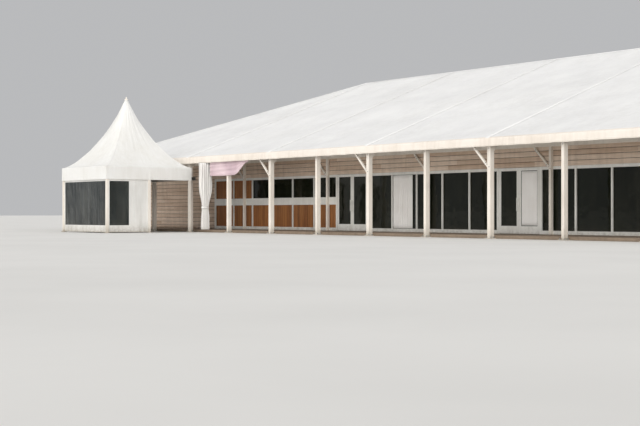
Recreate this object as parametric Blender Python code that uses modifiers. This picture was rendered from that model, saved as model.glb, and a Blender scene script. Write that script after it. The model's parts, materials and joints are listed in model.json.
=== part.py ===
"""A long white marquee with hipped ends, an open front veranda and a pagoda porch.

Metres, +Z up. +X runs along the ridge and the veranda faces -Y. The origin is under the
middle of the hall, on the ground. "Inset" is a plan distance measured inwards from the
eave line, and the roof climbs by SLOPE for each metre of it, from every side alike.
"""

import math

import bmesh
import bpy
from mathutils import Matrix, Vector

# Hall
HALL_WIDTH = 20.0
MAIN_BAYS = 3
MAIN_BAY = 6.0
HIP_POSTS = 2
EAVE_CLEAR = 3.0
ROOF_PITCH = math.radians(20.9)
VERANDA_DEPTH = 3.0
DECK_HEIGHT = 0.10
DECK_CLEARANCE = 0.005

# Aluminium frame
EAVE_BEAM_HEIGHT = 0.17
EAVE_BEAM_FACE = 0.005
EAVE_BEAM_BACK = 0.16
POST_FACE = 0.08
POST_DEPTH = 0.16
POST_WIDTH = 0.11
PORTAL_WIDTH = 0.14
RAFTER_WIDTH = 0.10
RAFTER_DEPTH = 0.24
HIP_RAFTER_DEPTH = 0.28
HIP_RAFTER_DROP = 0.004
SIDE_JACK_STOP = 0.055
END_JACK_STOP = 0.052
END_JACK_DROP = 0.003
HAUNCH_REACH = 0.42
HAUNCH_START = 2.76
BRACE_REACH = 0.75
BRACE_WIDTH = 0.06
BRACE_DEPTH = 0.09
BASE_PLATE_THICKNESS = 0.02
BASE_PLATE_SPREAD = 0.09
PURLIN_WIDTH = 0.08
PURLIN_DEPTH = 0.10
PURLIN_INSET = 5.0
APEX_BLOCK_LENGTH = 0.30
APEX_BLOCK_WIDTH = 0.44
APEX_BLOCK_DEPTH = 0.36
APEX_BLOCK_DROP = 0.06

# Roof skins
SKIN = 0.008
SKIN_OVERHANG = 0.03
SKIN_JOINT = 0.001

# Front wall, set back behind the veranda
WALL_THICKNESS = 0.06
BOARDING_THICKNESS = 0.05
DOOR_HEAD = 2.35
BOARDING_UNDER_SKIN = 0.33
BOARDED_END = -11.53
MULLION_WIDTH = 0.06
JAMB_WIDTH = 0.09
SILL_RAIL = 0.12
HEAD_RAIL = 0.10
DADO_HEIGHT = 1.15
DADO_RAIL = 0.30
LIGHT_WIDTH = 1.5
PANE = 0.010
PANE_EDGE = 0.02

# Inner row of posts, in front of the front wall
INNER_POST = 0.10
INNER_BEAM_HEIGHT = 0.14
INNER_BEAM_END = 16.6

# Doors, pivot hung, two leaves to an opening
DOOR_OPENING = 1.90
DOOR_A_BAY_POSITION = 7.5
DOOR_B_BAY_POSITION = -1.5
LEAF_THICKNESS = 0.045
HINGE_SIDE_GAP = 0.012
MEETING_GAP = 0.006
LEAF_END_GAP = 0.008
PIVOT_INSET = 0.014
PIVOT_RADIUS = 0.008
STILE = 0.10
BOTTOM_RAIL = 0.26
HANDLE_HEIGHT = 0.45
HANDLE_BAR = 0.024
HANDLE_STANDOFF = 0.05
HANDLE_MIDDLE = 1.10

# Fabric walls on the back and the ends
FABRIC_WALL = 0.03
FABRIC_WALL_FOOT = 0.03
WINDOW_WIDTH = 1.70
WINDOW_HEIGHT = 1.15
WINDOW_SILL = 1.05
WINDOW_LAP = 0.06
WINDOW_FILM = 0.004

# Pagoda porch
PAGODA_SIDE = 4.0
PAGODA_LEFT = -12.45
PAGODA_STAND_OFF = 0.15
PAGODA_CLEAR = 2.20
PAGODA_BEAM_HEIGHT = 0.20
PAGODA_POST = 0.10
PAGODA_BEAM_TRIM = 0.01
PAGODA_TOP_RAIL = 0.06
PAGODA_EAVE = 2.72
PAGODA_PEAK = 5.62
PAGODA_SKIN = 0.010
PAGODA_SKIRT_LAP = 0.02
PAGODA_TIP_RADIUS = 0.055
PAGODA_CURVE = 1.55
PAGODA_RINGS = 12
PAGODA_SIDES = 24
PAGODA_WALL = 0.02
KING_POLE_RADIUS = 0.035
KING_POLE_FOOT = 3.0
STAY = 0.014
FINIAL_HEIGHT = 0.14
FINIAL_PROFILE = ((0.35, 0.90), (0.45, 0.70), (0.30, 0.50), (1.10, 0.25), (1.20, 0.0))
GUTTER_DEPTH = 0.14
GUTTER_WALL = 0.006

# Drape beside the porch
DRAPE_POSITION = -7.45
DRAPE_RADIUS = 0.34
DRAPE_FLATTEN = 0.47
DRAPE_SKIRT = 0.62
DRAPE_TIE_HEIGHT = 1.04
DRAPE_TIE_RADIUS = 0.17
DRAPE_HEM = 0.12
DRAPE_FORWARD = 0.17

# Swag under the eave beside the drape
SWAG_RIGHT = -4.4
SWAG_CLEARANCE = 0.03
SWAG_THICKNESS = 0.04
SWAG_DROP = 0.66
SWAG_END_DROP = 0.12
SWAG_LOW_SHARE = 0.75
SWAG_OFF_POST = 0.025

GAP = 0.0003
WELD_DISTANCE = 0.00005
TOOL_REACH = 1.0

SLOPE = math.tan(ROOF_PITCH)
HALF_WIDTH = HALL_WIDTH / 2
HIP_RUN = HALF_WIDTH
HALF_RIDGE = (MAIN_BAYS * MAIN_BAY + PORTAL_WIDTH) / 2
HALF_LENGTH = HALF_RIDGE + HIP_RUN
POST_BACK = POST_FACE + POST_DEPTH
EAVE_TOP = EAVE_CLEAR + EAVE_BEAM_HEIGHT
WALL_FACE = HALF_WIDTH - VERANDA_DEPTH
FRONT_BRACE_Y = -HALF_WIDTH + (POST_FACE + EAVE_BEAM_BACK) / 2
INNER_ROW_Y = -WALL_FACE - INNER_POST / 2 - GAP
PORTALS = [MAIN_BAY * (n - MAIN_BAYS / 2) for n in range(MAIN_BAYS + 1)]
HALF_BAY_POSTS = [x + MAIN_BAY / 2 for x in PORTALS[:-1]]
HIP_STEPS = [HIP_RUN - MAIN_BAY / 2 * n for n in range(HIP_POSTS, 0, -1)]
PAGODA_RIGHT = PAGODA_LEFT + PAGODA_SIDE
PAGODA_BACK = -HALF_WIDTH - PAGODA_STAND_OFF
PAGODA_FRONT = PAGODA_BACK - PAGODA_SIDE
PAGODA_MIDDLE = ((PAGODA_LEFT + PAGODA_RIGHT) / 2, (PAGODA_FRONT + PAGODA_BACK) / 2)


def roof_height(inset):
    """Height of the skins' underside at a plan distance inside the eave line."""
    return EAVE_TOP + inset * SLOPE


def clear_scene():
    for obj in list(bpy.data.objects):
        bpy.data.objects.remove(obj)


def new_collection(name):
    collection = bpy.data.collections.new(name)
    bpy.context.scene.collection.children.link(collection)
    return collection


def new_material(name, colour, roughness, metallic=0.0):
    material = bpy.data.materials.new(name)
    material.use_nodes = True
    shader = material.node_tree.nodes["Principled BSDF"]
    shader.inputs["Base Color"].default_value = (*colour, 1.0)
    shader.inputs["Roughness"].default_value = roughness
    shader.inputs["Metallic"].default_value = metallic
    return material


clear_scene()
PARTS = new_collection("marquee")
TOOLS = new_collection("cutters")
WHITE_FRAME = new_material("white_frame", (0.86, 0.84, 0.80), 0.45)
ROOF_SKIN = new_material("roof_skin", (0.88, 0.88, 0.88), 0.50)
WALL_FABRIC = new_material("wall_fabric", (0.84, 0.84, 0.83), 0.55)
BOARDS = new_material("timber_boards", (0.42, 0.30, 0.20), 0.70)
DECKING = new_material("decking", (0.30, 0.24, 0.18), 0.75)
GLAZING = new_material("glazing", (0.05, 0.07, 0.06), 0.08)
CLEAR_FILM = new_material("clear_film", (0.30, 0.33, 0.34), 0.15)
BRIGHT_METAL = new_material("bright_metal", (0.70, 0.71, 0.72), 0.30, 1.0)
DRAPE_CLOTH = new_material("drape_cloth", (0.85, 0.84, 0.82), 0.80)


def add_object(name, mesh, material, location=(0.0, 0.0, 0.0), rotation=(0.0, 0.0, 0.0)):
    obj = bpy.data.objects.new(name, mesh)
    obj.location = location
    obj.rotation_euler = rotation
    if material:
        mesh.materials.append(material)
        PARTS.objects.link(obj)
    else:
        TOOLS.objects.link(obj)
        obj.hide_render = True
        obj.display_type = "WIRE"
    return obj


def box(name, low, high, material=None):
    """A box between two corners; without a material it is a tool for a Boolean."""
    low, high = Vector(low), Vector(high)
    bm = bmesh.new()
    bmesh.ops.create_cube(bm, size=1.0, matrix=Matrix.Diagonal((*(high - low), 1.0)))
    mesh = bpy.data.meshes.new(name)
    bm.to_mesh(mesh)
    bm.free()
    return add_object(name, mesh, material, (low + high) / 2)


def sloping_beam(name, start, end, width, depth, material=None):
    """A beam with plumb-cut ends; start and end lie on the middle of its top face."""
    start, end = Vector(start), Vector(end)
    way = end - start
    run = math.hypot(way.x, way.y)
    shear = Matrix.Identity(4)
    shear[2][0] = way.z / run
    bm = bmesh.new()
    bmesh.ops.create_cube(bm, size=1.0, matrix=Matrix.Diagonal((run, width, depth, 1.0)))
    bmesh.ops.transform(bm, matrix=shear, verts=bm.verts)
    mesh = bpy.data.meshes.new(name)
    bm.to_mesh(mesh)
    bm.free()
    middle = (start + end) / 2 - Vector((0.0, 0.0, depth / 2))
    return add_object(name, mesh, material, middle, (0.0, 0.0, math.atan2(way.y, way.x)))


def cylinder(name, centre, radius, height, material=None, sides=16):
    bm = bmesh.new()
    bmesh.ops.create_cone(
        bm, cap_ends=True, segments=sides, radius1=radius, radius2=radius, depth=height
    )
    mesh = bpy.data.meshes.new(name)
    bm.to_mesh(mesh)
    bm.free()
    return add_object(name, mesh, material, centre)


def flat_outline(name, points, thickness, material, location, rotation):
    """A filled outline given a thickness, as a closed mesh."""
    curve = bpy.data.curves.new(name, "CURVE")
    curve.dimensions = "2D"
    curve.fill_mode = "BOTH"
    curve.extrude = thickness / 2
    spline = curve.splines.new("POLY")
    spline.points.add(len(points) - 1)
    for point, (u, v) in zip(spline.points, points):
        point.co = (u, v, 0.0, 1.0)
    spline.use_cyclic_u = True
    guide = bpy.data.objects.new(name + "_outline", curve)
    TOOLS.objects.link(guide)
    bpy.context.view_layer.update()
    mesh = bpy.data.meshes.new_from_object(guide.evaluated_get(bpy.context.evaluated_depsgraph_get()))
    bpy.data.objects.remove(guide)
    bm = bmesh.new()
    bm.from_mesh(mesh)
    bmesh.ops.remove_doubles(bm, verts=bm.verts, dist=0.0001)
    bm.to_mesh(mesh)
    bm.free()
    mesh.name = name
    return add_object(name, mesh, material, location, rotation)


def boolean(body, tools, operation):
    for tool in tools:
        modifier = body.modifiers.new(operation.lower(), "BOOLEAN")
        modifier.operation = operation
        modifier.solver = "EXACT"
        modifier.object = tool
    weld = body.modifiers.new("weld", "WELD")
    weld.merge_threshold = WELD_DISTANCE


def fuse(body, tools):
    boolean(body, tools, "UNION")
    return body


def cut(body, tools):
    boolean(body, tools, "DIFFERENCE")
    return body


# Deck
def build_deck():
    inset = POST_BACK + DECK_CLEARANCE
    box(
        "floor_deck",
        (-HALF_LENGTH + inset, -HALF_WIDTH + inset, 0.0),
        (HALF_LENGTH - inset, HALF_WIDTH - inset, DECK_HEIGHT),
        DECKING,
    )


# Portal frames
def notch(position, width, top, depth):
    """Outline points of a seat cut down into a rafter, from low to high y."""
    half = width / 2 + GAP
    floor = top - depth - GAP
    low, high = position - half, position + half
    return [
        (low, roof_height(HALF_WIDTH - abs(low)) - GAP),
        (low, floor),
        (high, floor),
        (high, roof_height(HALF_WIDTH - abs(high)) - GAP),
    ]


def purlin_top():
    return roof_height(PURLIN_INSET - PURLIN_WIDTH / 2) - 2 * GAP


def ridge_beam_top():
    return roof_height(HALF_WIDTH - PURLIN_WIDTH / 2) - 2 * GAP


def portal_outline():
    """The whole frame from one foot over the ridge to the other, in y and z."""
    face, back = HALF_WIDTH - POST_FACE, HALF_WIDTH - POST_BACK
    haunch_end = back - HAUNCH_REACH
    under = RAFTER_DEPTH + GAP
    purlin = HALF_WIDTH - PURLIN_INSET
    top = (
        [(-face, 0.0), (-face, roof_height(POST_FACE) - GAP)]
        + notch(-purlin, PURLIN_WIDTH, purlin_top(), PURLIN_DEPTH)
        + notch(0.0, PURLIN_WIDTH, ridge_beam_top(), PURLIN_DEPTH)
        + notch(purlin, PURLIN_WIDTH, purlin_top(), PURLIN_DEPTH)
        + [(face, roof_height(POST_FACE) - GAP), (face, 0.0)]
    )
    bottom = [
        (back, 0.0),
        (back, HAUNCH_START),
        (haunch_end, roof_height(HALF_WIDTH - haunch_end) - under),
        (0.0, roof_height(HALF_WIDTH) - under),
        (-haunch_end, roof_height(HALF_WIDTH - haunch_end) - under),
        (-back, HAUNCH_START),
        (-back, 0.0),
    ]
    return top + bottom


def base_plate(name, x, y_side):
    """A foot plate under a post of the front (-1) or back (1) row."""
    half = POST_WIDTH / 2 + BASE_PLATE_SPREAD
    near, far = sorted((y_side * (HALF_WIDTH - POST_BACK), y_side * (HALF_WIDTH - POST_FACE / 4)))
    return box(name, (x - half, near, 0.0), (x + half, far, BASE_PLATE_THICKNESS))


def knee_brace(name, x, y):
    """A diagonal from a post up to the left, ending under the beam over it."""
    top = EAVE_CLEAR - GAP
    start = (x, y, top - BRACE_REACH)
    end = (x - BRACE_REACH, y, top)
    return sloping_beam(name, start, end, BRACE_WIDTH, BRACE_DEPTH)


def build_portals():
    for number, x in enumerate(PORTALS, start=1):
        name = f"portal_frame_{number}"
        frame = flat_outline(
            name,
            portal_outline(),
            PORTAL_WIDTH,
            WHITE_FRAME,
            (x, 0.0, 0.0),
            (math.pi / 2, 0.0, math.pi / 2),
        )
        tools = [base_plate(f"{name}_foot_{side}", x, side) for side in (-1, 1)]
        tools.append(knee_brace(f"{name}_brace", x, FRONT_BRACE_Y))
        fuse(frame, tools)


# Purlins and ridge beam, let into the portal frames
def build_purlins():
    reach = HALF_RIDGE
    rows = (
        ("purlin_front", -(HALF_WIDTH - PURLIN_INSET), purlin_top()),
        ("purlin_back", HALF_WIDTH - PURLIN_INSET, purlin_top()),
        ("ridge_beam", 0.0, ridge_beam_top()),
    )
    for name, y, top in rows:
        box(
            name,
            (-reach, y - PURLIN_WIDTH / 2, top - PURLIN_DEPTH),
            (reach, y + PURLIN_WIDTH / 2, top),
            WHITE_FRAME,
        )


# Hip ends: two hip rafters and the jack rafters that land on them
def hip_end_beams(name, side):
    """Beams of one hip end; side is -1 at the left and 1 at the right."""
    block_middle = side * (HALF_RIDGE + APEX_BLOCK_LENGTH / 2)
    top_inset = HALF_LENGTH - abs(block_middle)
    valley = RAFTER_WIDTH / 2 * math.sin(math.pi / 4) * SLOPE
    beams = []
    for flank in (-1, 1):
        low = POST_BACK + GAP
        for step in HIP_STEPS:
            side_top, end_top = roof_height(low) - GAP, roof_height(step) - GAP
            x = side * (HALF_LENGTH - step)
            beams.append(
                sloping_beam(
                    f"{name}_side_jack_{flank}_{step:.2f}",
                    (x, flank * (HALF_WIDTH - low), side_top),
                    (x, flank * (HALF_WIDTH - step + SIDE_JACK_STOP), end_top - SIDE_JACK_STOP * SLOPE),
                    RAFTER_WIDTH,
                    RAFTER_DEPTH,
                )
            )
            y = flank * (HALF_WIDTH - step)
            beams.append(
                sloping_beam(
                    f"{name}_end_jack_{flank}_{step:.2f}",
                    (side * (HALF_LENGTH - low), y, side_top - END_JACK_DROP),
                    (x + side * END_JACK_STOP, y, end_top - END_JACK_STOP * SLOPE - END_JACK_DROP),
                    RAFTER_WIDTH,
                    RAFTER_DEPTH,
                )
            )
        beams.append(
            sloping_beam(
                f"{name}_hip_{flank}",
                (
                    side * (HALF_LENGTH - low),
                    flank * (HALF_WIDTH - low),
                    roof_height(low) - valley - HIP_RAFTER_DROP,
                ),
                (
                    side * (HALF_LENGTH - top_inset),
                    flank * (HALF_WIDTH - top_inset),
                    roof_height(top_inset) - valley - HIP_RAFTER_DROP,
                ),
                RAFTER_WIDTH,
                HIP_RAFTER_DEPTH,
            )
        )
    return beams


def build_hip_end(name, side):
    inner = HALF_RIDGE + GAP
    outer = inner + APEX_BLOCK_LENGTH
    block_top = roof_height(HALF_LENGTH - outer) - APEX_BLOCK_DROP
    low_x, high_x = sorted((side * inner, side * outer))
    block = box(
        name,
        (low_x, -APEX_BLOCK_WIDTH / 2, block_top - APEX_BLOCK_DEPTH),
        (high_x, APEX_BLOCK_WIDTH / 2, block_top),
        WHITE_FRAME,
    )
    low = POST_BACK + GAP
    high = HALF_LENGTH - (inner + outer) / 2
    middle_rafter = sloping_beam(
        f"{name}_middle",
        (side * (HALF_LENGTH - low), 0.0, roof_height(low) - GAP),
        (side * (HALF_LENGTH - high), 0.0, roof_height(high) - GAP),
        RAFTER_WIDTH,
        RAFTER_DEPTH,
    )
    beams = hip_end_beams(name, side)
    hips = [beam for beam in beams if "_hip_" in beam.name]
    jacks = [beam for beam in beams if "_jack_" in beam.name]
    fuse(block, [middle_rafter] + hips + jacks)


# Eave beams with their posts
def row_posts(name, positions, y_side):
    near, far = sorted((y_side * (HALF_WIDTH - POST_BACK), y_side * (HALF_WIDTH - POST_FACE)))
    tools = []
    for x in positions:
        low = (x - POST_WIDTH / 2, near, 0.0)
        high = (x + POST_WIDTH / 2, far, roof_height(POST_FACE) - 2 * GAP)
        tools.append(box(f"{name}_post_{x:.2f}", low, high))
        tools.append(base_plate(f"{name}_plate_{x:.2f}", x, y_side))
    return tools


def corner_post(name, x_side, y_side):
    near_x, far_x = sorted((x_side * (HALF_LENGTH - POST_BACK), x_side * HALF_LENGTH))
    near_y, far_y = sorted((y_side * (HALF_WIDTH - POST_BACK), y_side * HALF_WIDTH))
    return box(name, (near_x, near_y, 0.0), (far_x, far_y, EAVE_TOP - 2 * GAP))


def build_eave_row(name, y_side, positions):
    """A full-length eave beam with its posts; the portal posts stand in notches behind it."""
    reach = HALF_LENGTH - POST_BACK / 2
    near, far = sorted(
        (y_side * (HALF_WIDTH - EAVE_BEAM_BACK), y_side * (HALF_WIDTH - EAVE_BEAM_FACE))
    )
    beam = box(name, (-reach, near, EAVE_CLEAR), (reach, far, EAVE_TOP - 3 * GAP), WHITE_FRAME)
    tools = [corner_post(f"{name}_corner_{side}", side, y_side) for side in (-1, 1)]
    fuse(beam, tools + row_posts(name, positions, y_side))
    slots = []
    for x in PORTALS:
        half = PORTAL_WIDTH / 2 + GAP
        inside, outside = sorted(
            (y_side * (HALF_WIDTH - POST_BACK), y_side * (HALF_WIDTH - POST_FACE + GAP))
        )
        low = (x - half, inside, EAVE_CLEAR - TOOL_REACH)
        high = (x + half, outside, EAVE_TOP + TOOL_REACH)
        slots.append(box(f"{name}_slot_{x:.2f}", low, high))
    cut(beam, slots)


def build_end_row(name, side):
    """The shorter eave beam over one hipped end, with its posts."""
    near, far = sorted(
        (side * (HALF_LENGTH - EAVE_BEAM_BACK), side * (HALF_LENGTH - EAVE_BEAM_FACE))
    )
    reach = HALF_WIDTH - POST_BACK - GAP
    beam = box(name, (near, -reach, EAVE_CLEAR), (far, reach, EAVE_TOP - 3 * GAP), WHITE_FRAME)
    post_near, post_far = sorted((side * (HALF_LENGTH - POST_BACK), side * (HALF_LENGTH - POST_FACE)))
    plate_far = side * (HALF_LENGTH - POST_FACE / 4)
    plate_near, plate_far = sorted((side * (HALF_LENGTH - POST_BACK), plate_far))
    rows = [0.0] + [flank * (HALF_WIDTH - step) for step in HIP_STEPS for flank in (-1, 1)]
    tools = []
    for y in rows:
        half = POST_WIDTH / 2
        low, high = (post_near, y - half, 0.0), (post_far, y + half, roof_height(POST_FACE) - 2 * GAP)
        tools.append(box(f"{name}_post_{y:.2f}", low, high))
        half += BASE_PLATE_SPREAD
        low, high = (plate_near, y - half, 0.0), (plate_far, y + half, BASE_PLATE_THICKNESS)
        tools.append(box(f"{name}_plate_{y:.2f}", low, high))
    fuse(beam, tools)


# Roof skins
def build_skins():
    """Four flat skins; each is drawn in its own slope, eave at the bottom, and turned into place."""
    slope_length = (HALF_WIDTH + SKIN_OVERHANG) / math.cos(ROOF_PITCH)
    eave_height = roof_height(-SKIN_OVERHANG)
    lift = SKIN / 2
    sides = (
        ("roof_skin_front", 0.0, HALF_LENGTH, HALF_RIDGE, HALF_WIDTH),
        ("roof_skin_right", math.pi / 2, HALF_WIDTH, 0.0, HALF_LENGTH),
        ("roof_skin_back", math.pi, HALF_LENGTH, HALF_RIDGE, HALF_WIDTH),
        ("roof_skin_left", 3 * math.pi / 2, HALF_WIDTH, 0.0, HALF_LENGTH),
    )
    for name, turn, half_eave, half_top, distance in sides:
        eave_half = half_eave + SKIN_OVERHANG - SKIN_JOINT
        top_half = max(half_top - SKIN_JOINT, SKIN_JOINT)
        points = [
            (-eave_half, 0.0),
            (eave_half, 0.0),
            (top_half, slope_length - SKIN_JOINT),
            (-top_half, slope_length - SKIN_JOINT),
        ]
        outward = Vector((0.0, -(distance + SKIN_OVERHANG) - lift * math.sin(ROOF_PITCH), 0.0))
        outward.rotate(Matrix.Rotation(turn, 3, "Z"))
        height = eave_height + lift * math.cos(ROOF_PITCH)
        flat_outline(
            name,
            points,
            SKIN,
            ROOF_SKIN,
            (outward.x, outward.y, height),
            (ROOF_PITCH, 0.0, turn),
        )


# Front wall
def door_edges():
    """Left and right edges of each door opening, from left to right."""
    half = DOOR_OPENING / 2
    return [(x - half, x + half) for x in sorted((DOOR_A_BAY_POSITION, DOOR_B_BAY_POSITION))]


def wall_sections():
    (left_end, middle_start), (middle_end, right_start) = door_edges()
    reach = HALF_LENGTH - POST_FACE - GAP
    return (
        ("left", BOARDED_END + GAP, left_end),
        ("middle", middle_start, middle_end),
        ("right", right_start, reach),
    )


def build_boarding():
    """The boarded band over the doors, cut to the roof at both ends, and boards below its left end."""
    reach = HALF_LENGTH - POST_FACE - GAP
    top = roof_height(VERANDA_DEPTH) - RAFTER_DEPTH - 2 * GAP
    end_top = roof_height(HALF_LENGTH - reach) - BOARDING_UNDER_SKIN
    shoulder = HALF_LENGTH - (top + BOARDING_UNDER_SKIN - EAVE_TOP) / SLOPE
    box(
        "front_wall_low_boarding",
        (-reach, -WALL_FACE, DECK_HEIGHT + GAP),
        (BOARDED_END, -WALL_FACE + BOARDING_THICKNESS, DOOR_HEAD - GAP),
        BOARDS,
    )
    points = [
        (-reach, DOOR_HEAD),
        (reach, DOOR_HEAD),
        (reach, end_top),
        (shoulder, top),
        (-shoulder, top),
        (-reach, end_top),
    ]
    flat_outline(
        "front_wall_boarding",
        points,
        BOARDING_THICKNESS,
        BOARDS,
        (0.0, -WALL_FACE + BOARDING_THICKNESS / 2, 0.0),
        (math.pi / 2, 0.0, 0.0),
    )


def inner_brace(name, x):
    top = EAVE_CLEAR + INNER_BEAM_HEIGHT / 3
    start = (x, INNER_ROW_Y, top - BRACE_REACH)
    end = (x - BRACE_REACH, INNER_ROW_Y, top)
    return sloping_beam(name, start, end, BRACE_WIDTH, BRACE_DEPTH)


def build_inner_row():
    """A beam along the wall on a post under each portal, braced as the front posts are."""
    half = INNER_POST / 2
    beam = box(
        "veranda_inner_row",
        (-INNER_BEAM_END, INNER_ROW_Y - half, EAVE_CLEAR),
        (INNER_BEAM_END, INNER_ROW_Y + half, EAVE_CLEAR + INNER_BEAM_HEIGHT),
        WHITE_FRAME,
    )
    tools = []
    for x in PORTALS:
        low = (x - half, INNER_ROW_Y - half, DECK_HEIGHT + GAP)
        high = (x + half, INNER_ROW_Y + half, EAVE_CLEAR + INNER_BEAM_HEIGHT / 2)
        tools.append(box(f"inner_post_{x:.2f}", low, high))
        tools.append(inner_brace(f"inner_brace_{x:.2f}", x))
    fuse(beam, tools)


def build_wall_frame(section, start, end):
    """White sill, head and mullions of one stretch of the front wall."""
    low_y, high_y = -WALL_FACE, -WALL_FACE + WALL_THICKNESS
    floor, head = DECK_HEIGHT + GAP, DOOR_HEAD - GAP
    body = box(f"front_wall_frame_{section}", (start, low_y, floor), (end, high_y, head), WHITE_FRAME)
    count = max(2, round((end - start) / LIGHT_WIDTH))
    inner_start, inner_end = start + JAMB_WIDTH, end - JAMB_WIDTH
    pitch = (inner_end - inner_start + MULLION_WIDTH) / count
    lights = []
    rows = [(floor + SILL_RAIL, head - HEAD_RAIL)]
    if section == "left":
        rows = [(floor + SILL_RAIL, DADO_HEIGHT), (DADO_HEIGHT + DADO_RAIL, head - HEAD_RAIL)]
    for n in range(count):
        left = inner_start + n * pitch
        for row, (bottom, top) in enumerate(rows):
            low = (left, low_y - TOOL_REACH, bottom)
            high = (left + pitch - MULLION_WIDTH, high_y + TOOL_REACH, top)
            lights.append(box(f"light_{section}_{n}_{row}", low, high))
    cut(body, lights)


def build_wall_panes(section, start, end):
    """One sheet of glass behind each stretch; the left one stands on a boarded dado."""
    near = -WALL_FACE + WALL_THICKNESS + GAP
    bottom = DECK_HEIGHT + PANE_EDGE
    if section == "left":
        middle = DADO_HEIGHT + DADO_RAIL / 2
        box(
            "front_wall_dado",
            (start + PANE_EDGE, near, bottom),
            (end - PANE_EDGE, near + PANE, middle - GAP),
            BOARDS,
        )
        bottom = middle
    box(
        f"front_wall_glass_{section}",
        (start + PANE_EDGE, near, bottom),
        (end - PANE_EDGE, near + PANE, DOOR_HEAD - PANE_EDGE),
        GLAZING,
    )


# Door leaves
def build_leaf(name, hinge_x, direction):
    """A glazed leaf; direction is 1 where it closes to the right of its pivot."""
    floor, head = DECK_HEIGHT + LEAF_END_GAP, DOOR_HEAD - LEAF_END_GAP
    leaf_width = DOOR_OPENING / 2 - HINGE_SIDE_GAP - MEETING_GAP / 2
    hinge_edge = hinge_x + direction * HINGE_SIDE_GAP
    free_edge = hinge_edge + direction * leaf_width
    face = -WALL_FACE + (WALL_THICKNESS - LEAF_THICKNESS) / 2
    pivot = Vector((hinge_edge + direction * PIVOT_INSET, face + PIVOT_INSET, 0.0))

    def from_pivot(x, y, z):
        return (x - pivot.x, y - pivot.y, z)

    low_x, high_x = sorted((hinge_edge, free_edge))
    back = face + LEAF_THICKNESS
    leaf = box(name, from_pivot(low_x, face, floor), from_pivot(high_x, back, head), WHITE_FRAME)
    leaf.location += pivot
    recess = (LEAF_THICKNESS - PANE) / 2
    pockets = []
    faces = ((face - TOOL_REACH, face + recess), (back - recess, back + TOOL_REACH))
    for side, (near, far) in enumerate(faces):
        low = (low_x + STILE, near, floor + BOTTOM_RAIL)
        high = (high_x - STILE, far, head - STILE)
        pockets.append(box(f"{name}_pocket_{side}", low, high))
    cut(leaf, pockets)
    pin_height = head - floor + 2 * (LEAF_END_GAP - GAP)
    pin = cylinder(f"{name}_pivot", (pivot.x, pivot.y, (head + floor) / 2), PIVOT_RADIUS, pin_height)
    handle_x = free_edge - direction * STILE / 2
    handle_y = face - HANDLE_STANDOFF
    handle = box(
        f"{name}_handle",
        (handle_x - HANDLE_BAR / 2, handle_y - HANDLE_BAR / 2, HANDLE_MIDDLE - HANDLE_HEIGHT / 2),
        (handle_x + HANDLE_BAR / 2, handle_y + HANDLE_BAR / 2, HANDLE_MIDDLE + HANDLE_HEIGHT / 2),
    )
    feet = []
    for sign in (-1, 1):
        z = HANDLE_MIDDLE + sign * (HANDLE_HEIGHT / 2 - 2 * HANDLE_BAR)
        low = (handle_x - HANDLE_BAR / 3, handle_y, z - HANDLE_BAR / 3)
        high = (handle_x + HANDLE_BAR / 3, face + recess, z + HANDLE_BAR / 3)
        feet.append(box(f"{name}_handle_foot_{sign}", low, high))
    fuse(leaf, [pin] + feet + [handle])


def build_doors():
    for letter, position in (("a", DOOR_A_BAY_POSITION), ("b", DOOR_B_BAY_POSITION)):
        half = DOOR_OPENING / 2
        build_leaf(f"door_{letter}_left_leaf", position - half, 1)
        build_leaf(f"door_{letter}_right_leaf", position + half, -1)


# Fabric walls
def window_centres(start, end, count):
    pitch = (end - start) / count
    return [start + pitch * (n + 0.5) for n in range(count)]


def build_fabric_wall(name, start, end, count, distance, turn):
    """A hanging wall with windows, drawn along x at y = -distance, then turned about the origin."""
    low_y, high_y = -distance - FABRIC_WALL, -distance
    top = EAVE_CLEAR - GAP
    wall = box(name, (start, low_y, FABRIC_WALL_FOOT), (end, high_y, top), WALL_FABRIC)
    centres = window_centres(start, end, count)
    openings = []
    for n, x in enumerate(centres):
        low = (x - WINDOW_WIDTH / 2, low_y - TOOL_REACH, WINDOW_SILL)
        high = (x + WINDOW_WIDTH / 2, high_y + TOOL_REACH, WINDOW_SILL + WINDOW_HEIGHT)
        openings.append(box(f"{name}_window_{n}", low, high))
    cut(wall, openings)
    half = WINDOW_WIDTH / 2 + WINDOW_LAP
    film = box(
        f"{name}_windows",
        (centres[0] - half, low_y - GAP - WINDOW_FILM, WINDOW_SILL - WINDOW_LAP),
        (centres[-1] + half, low_y - GAP, WINDOW_SILL + WINDOW_HEIGHT + WINDOW_LAP),
        CLEAR_FILM,
    )
    for obj in [wall, film] + openings:
        obj.matrix_world = Matrix.Rotation(turn, 4, "Z") @ Matrix.Translation(obj.location)


def build_fabric_walls():
    corner = POST_BACK + GAP
    back = HALF_WIDTH - POST_FACE + GAP
    end = HALF_LENGTH - POST_FACE + GAP
    bays = 2 * (MAIN_BAYS + HIP_POSTS + 1)
    build_fabric_wall("back_wall", -HALF_LENGTH + corner, HALF_LENGTH - corner, bays, back, math.pi)
    rear = HALF_WIDTH - corner
    end_bays = 2 * HIP_POSTS + 1
    build_fabric_wall("right_wall", -WALL_FACE, rear, end_bays, end, math.pi / 2)
    build_fabric_wall("left_wall", -rear, WALL_FACE, end_bays, end, -math.pi / 2)


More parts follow.
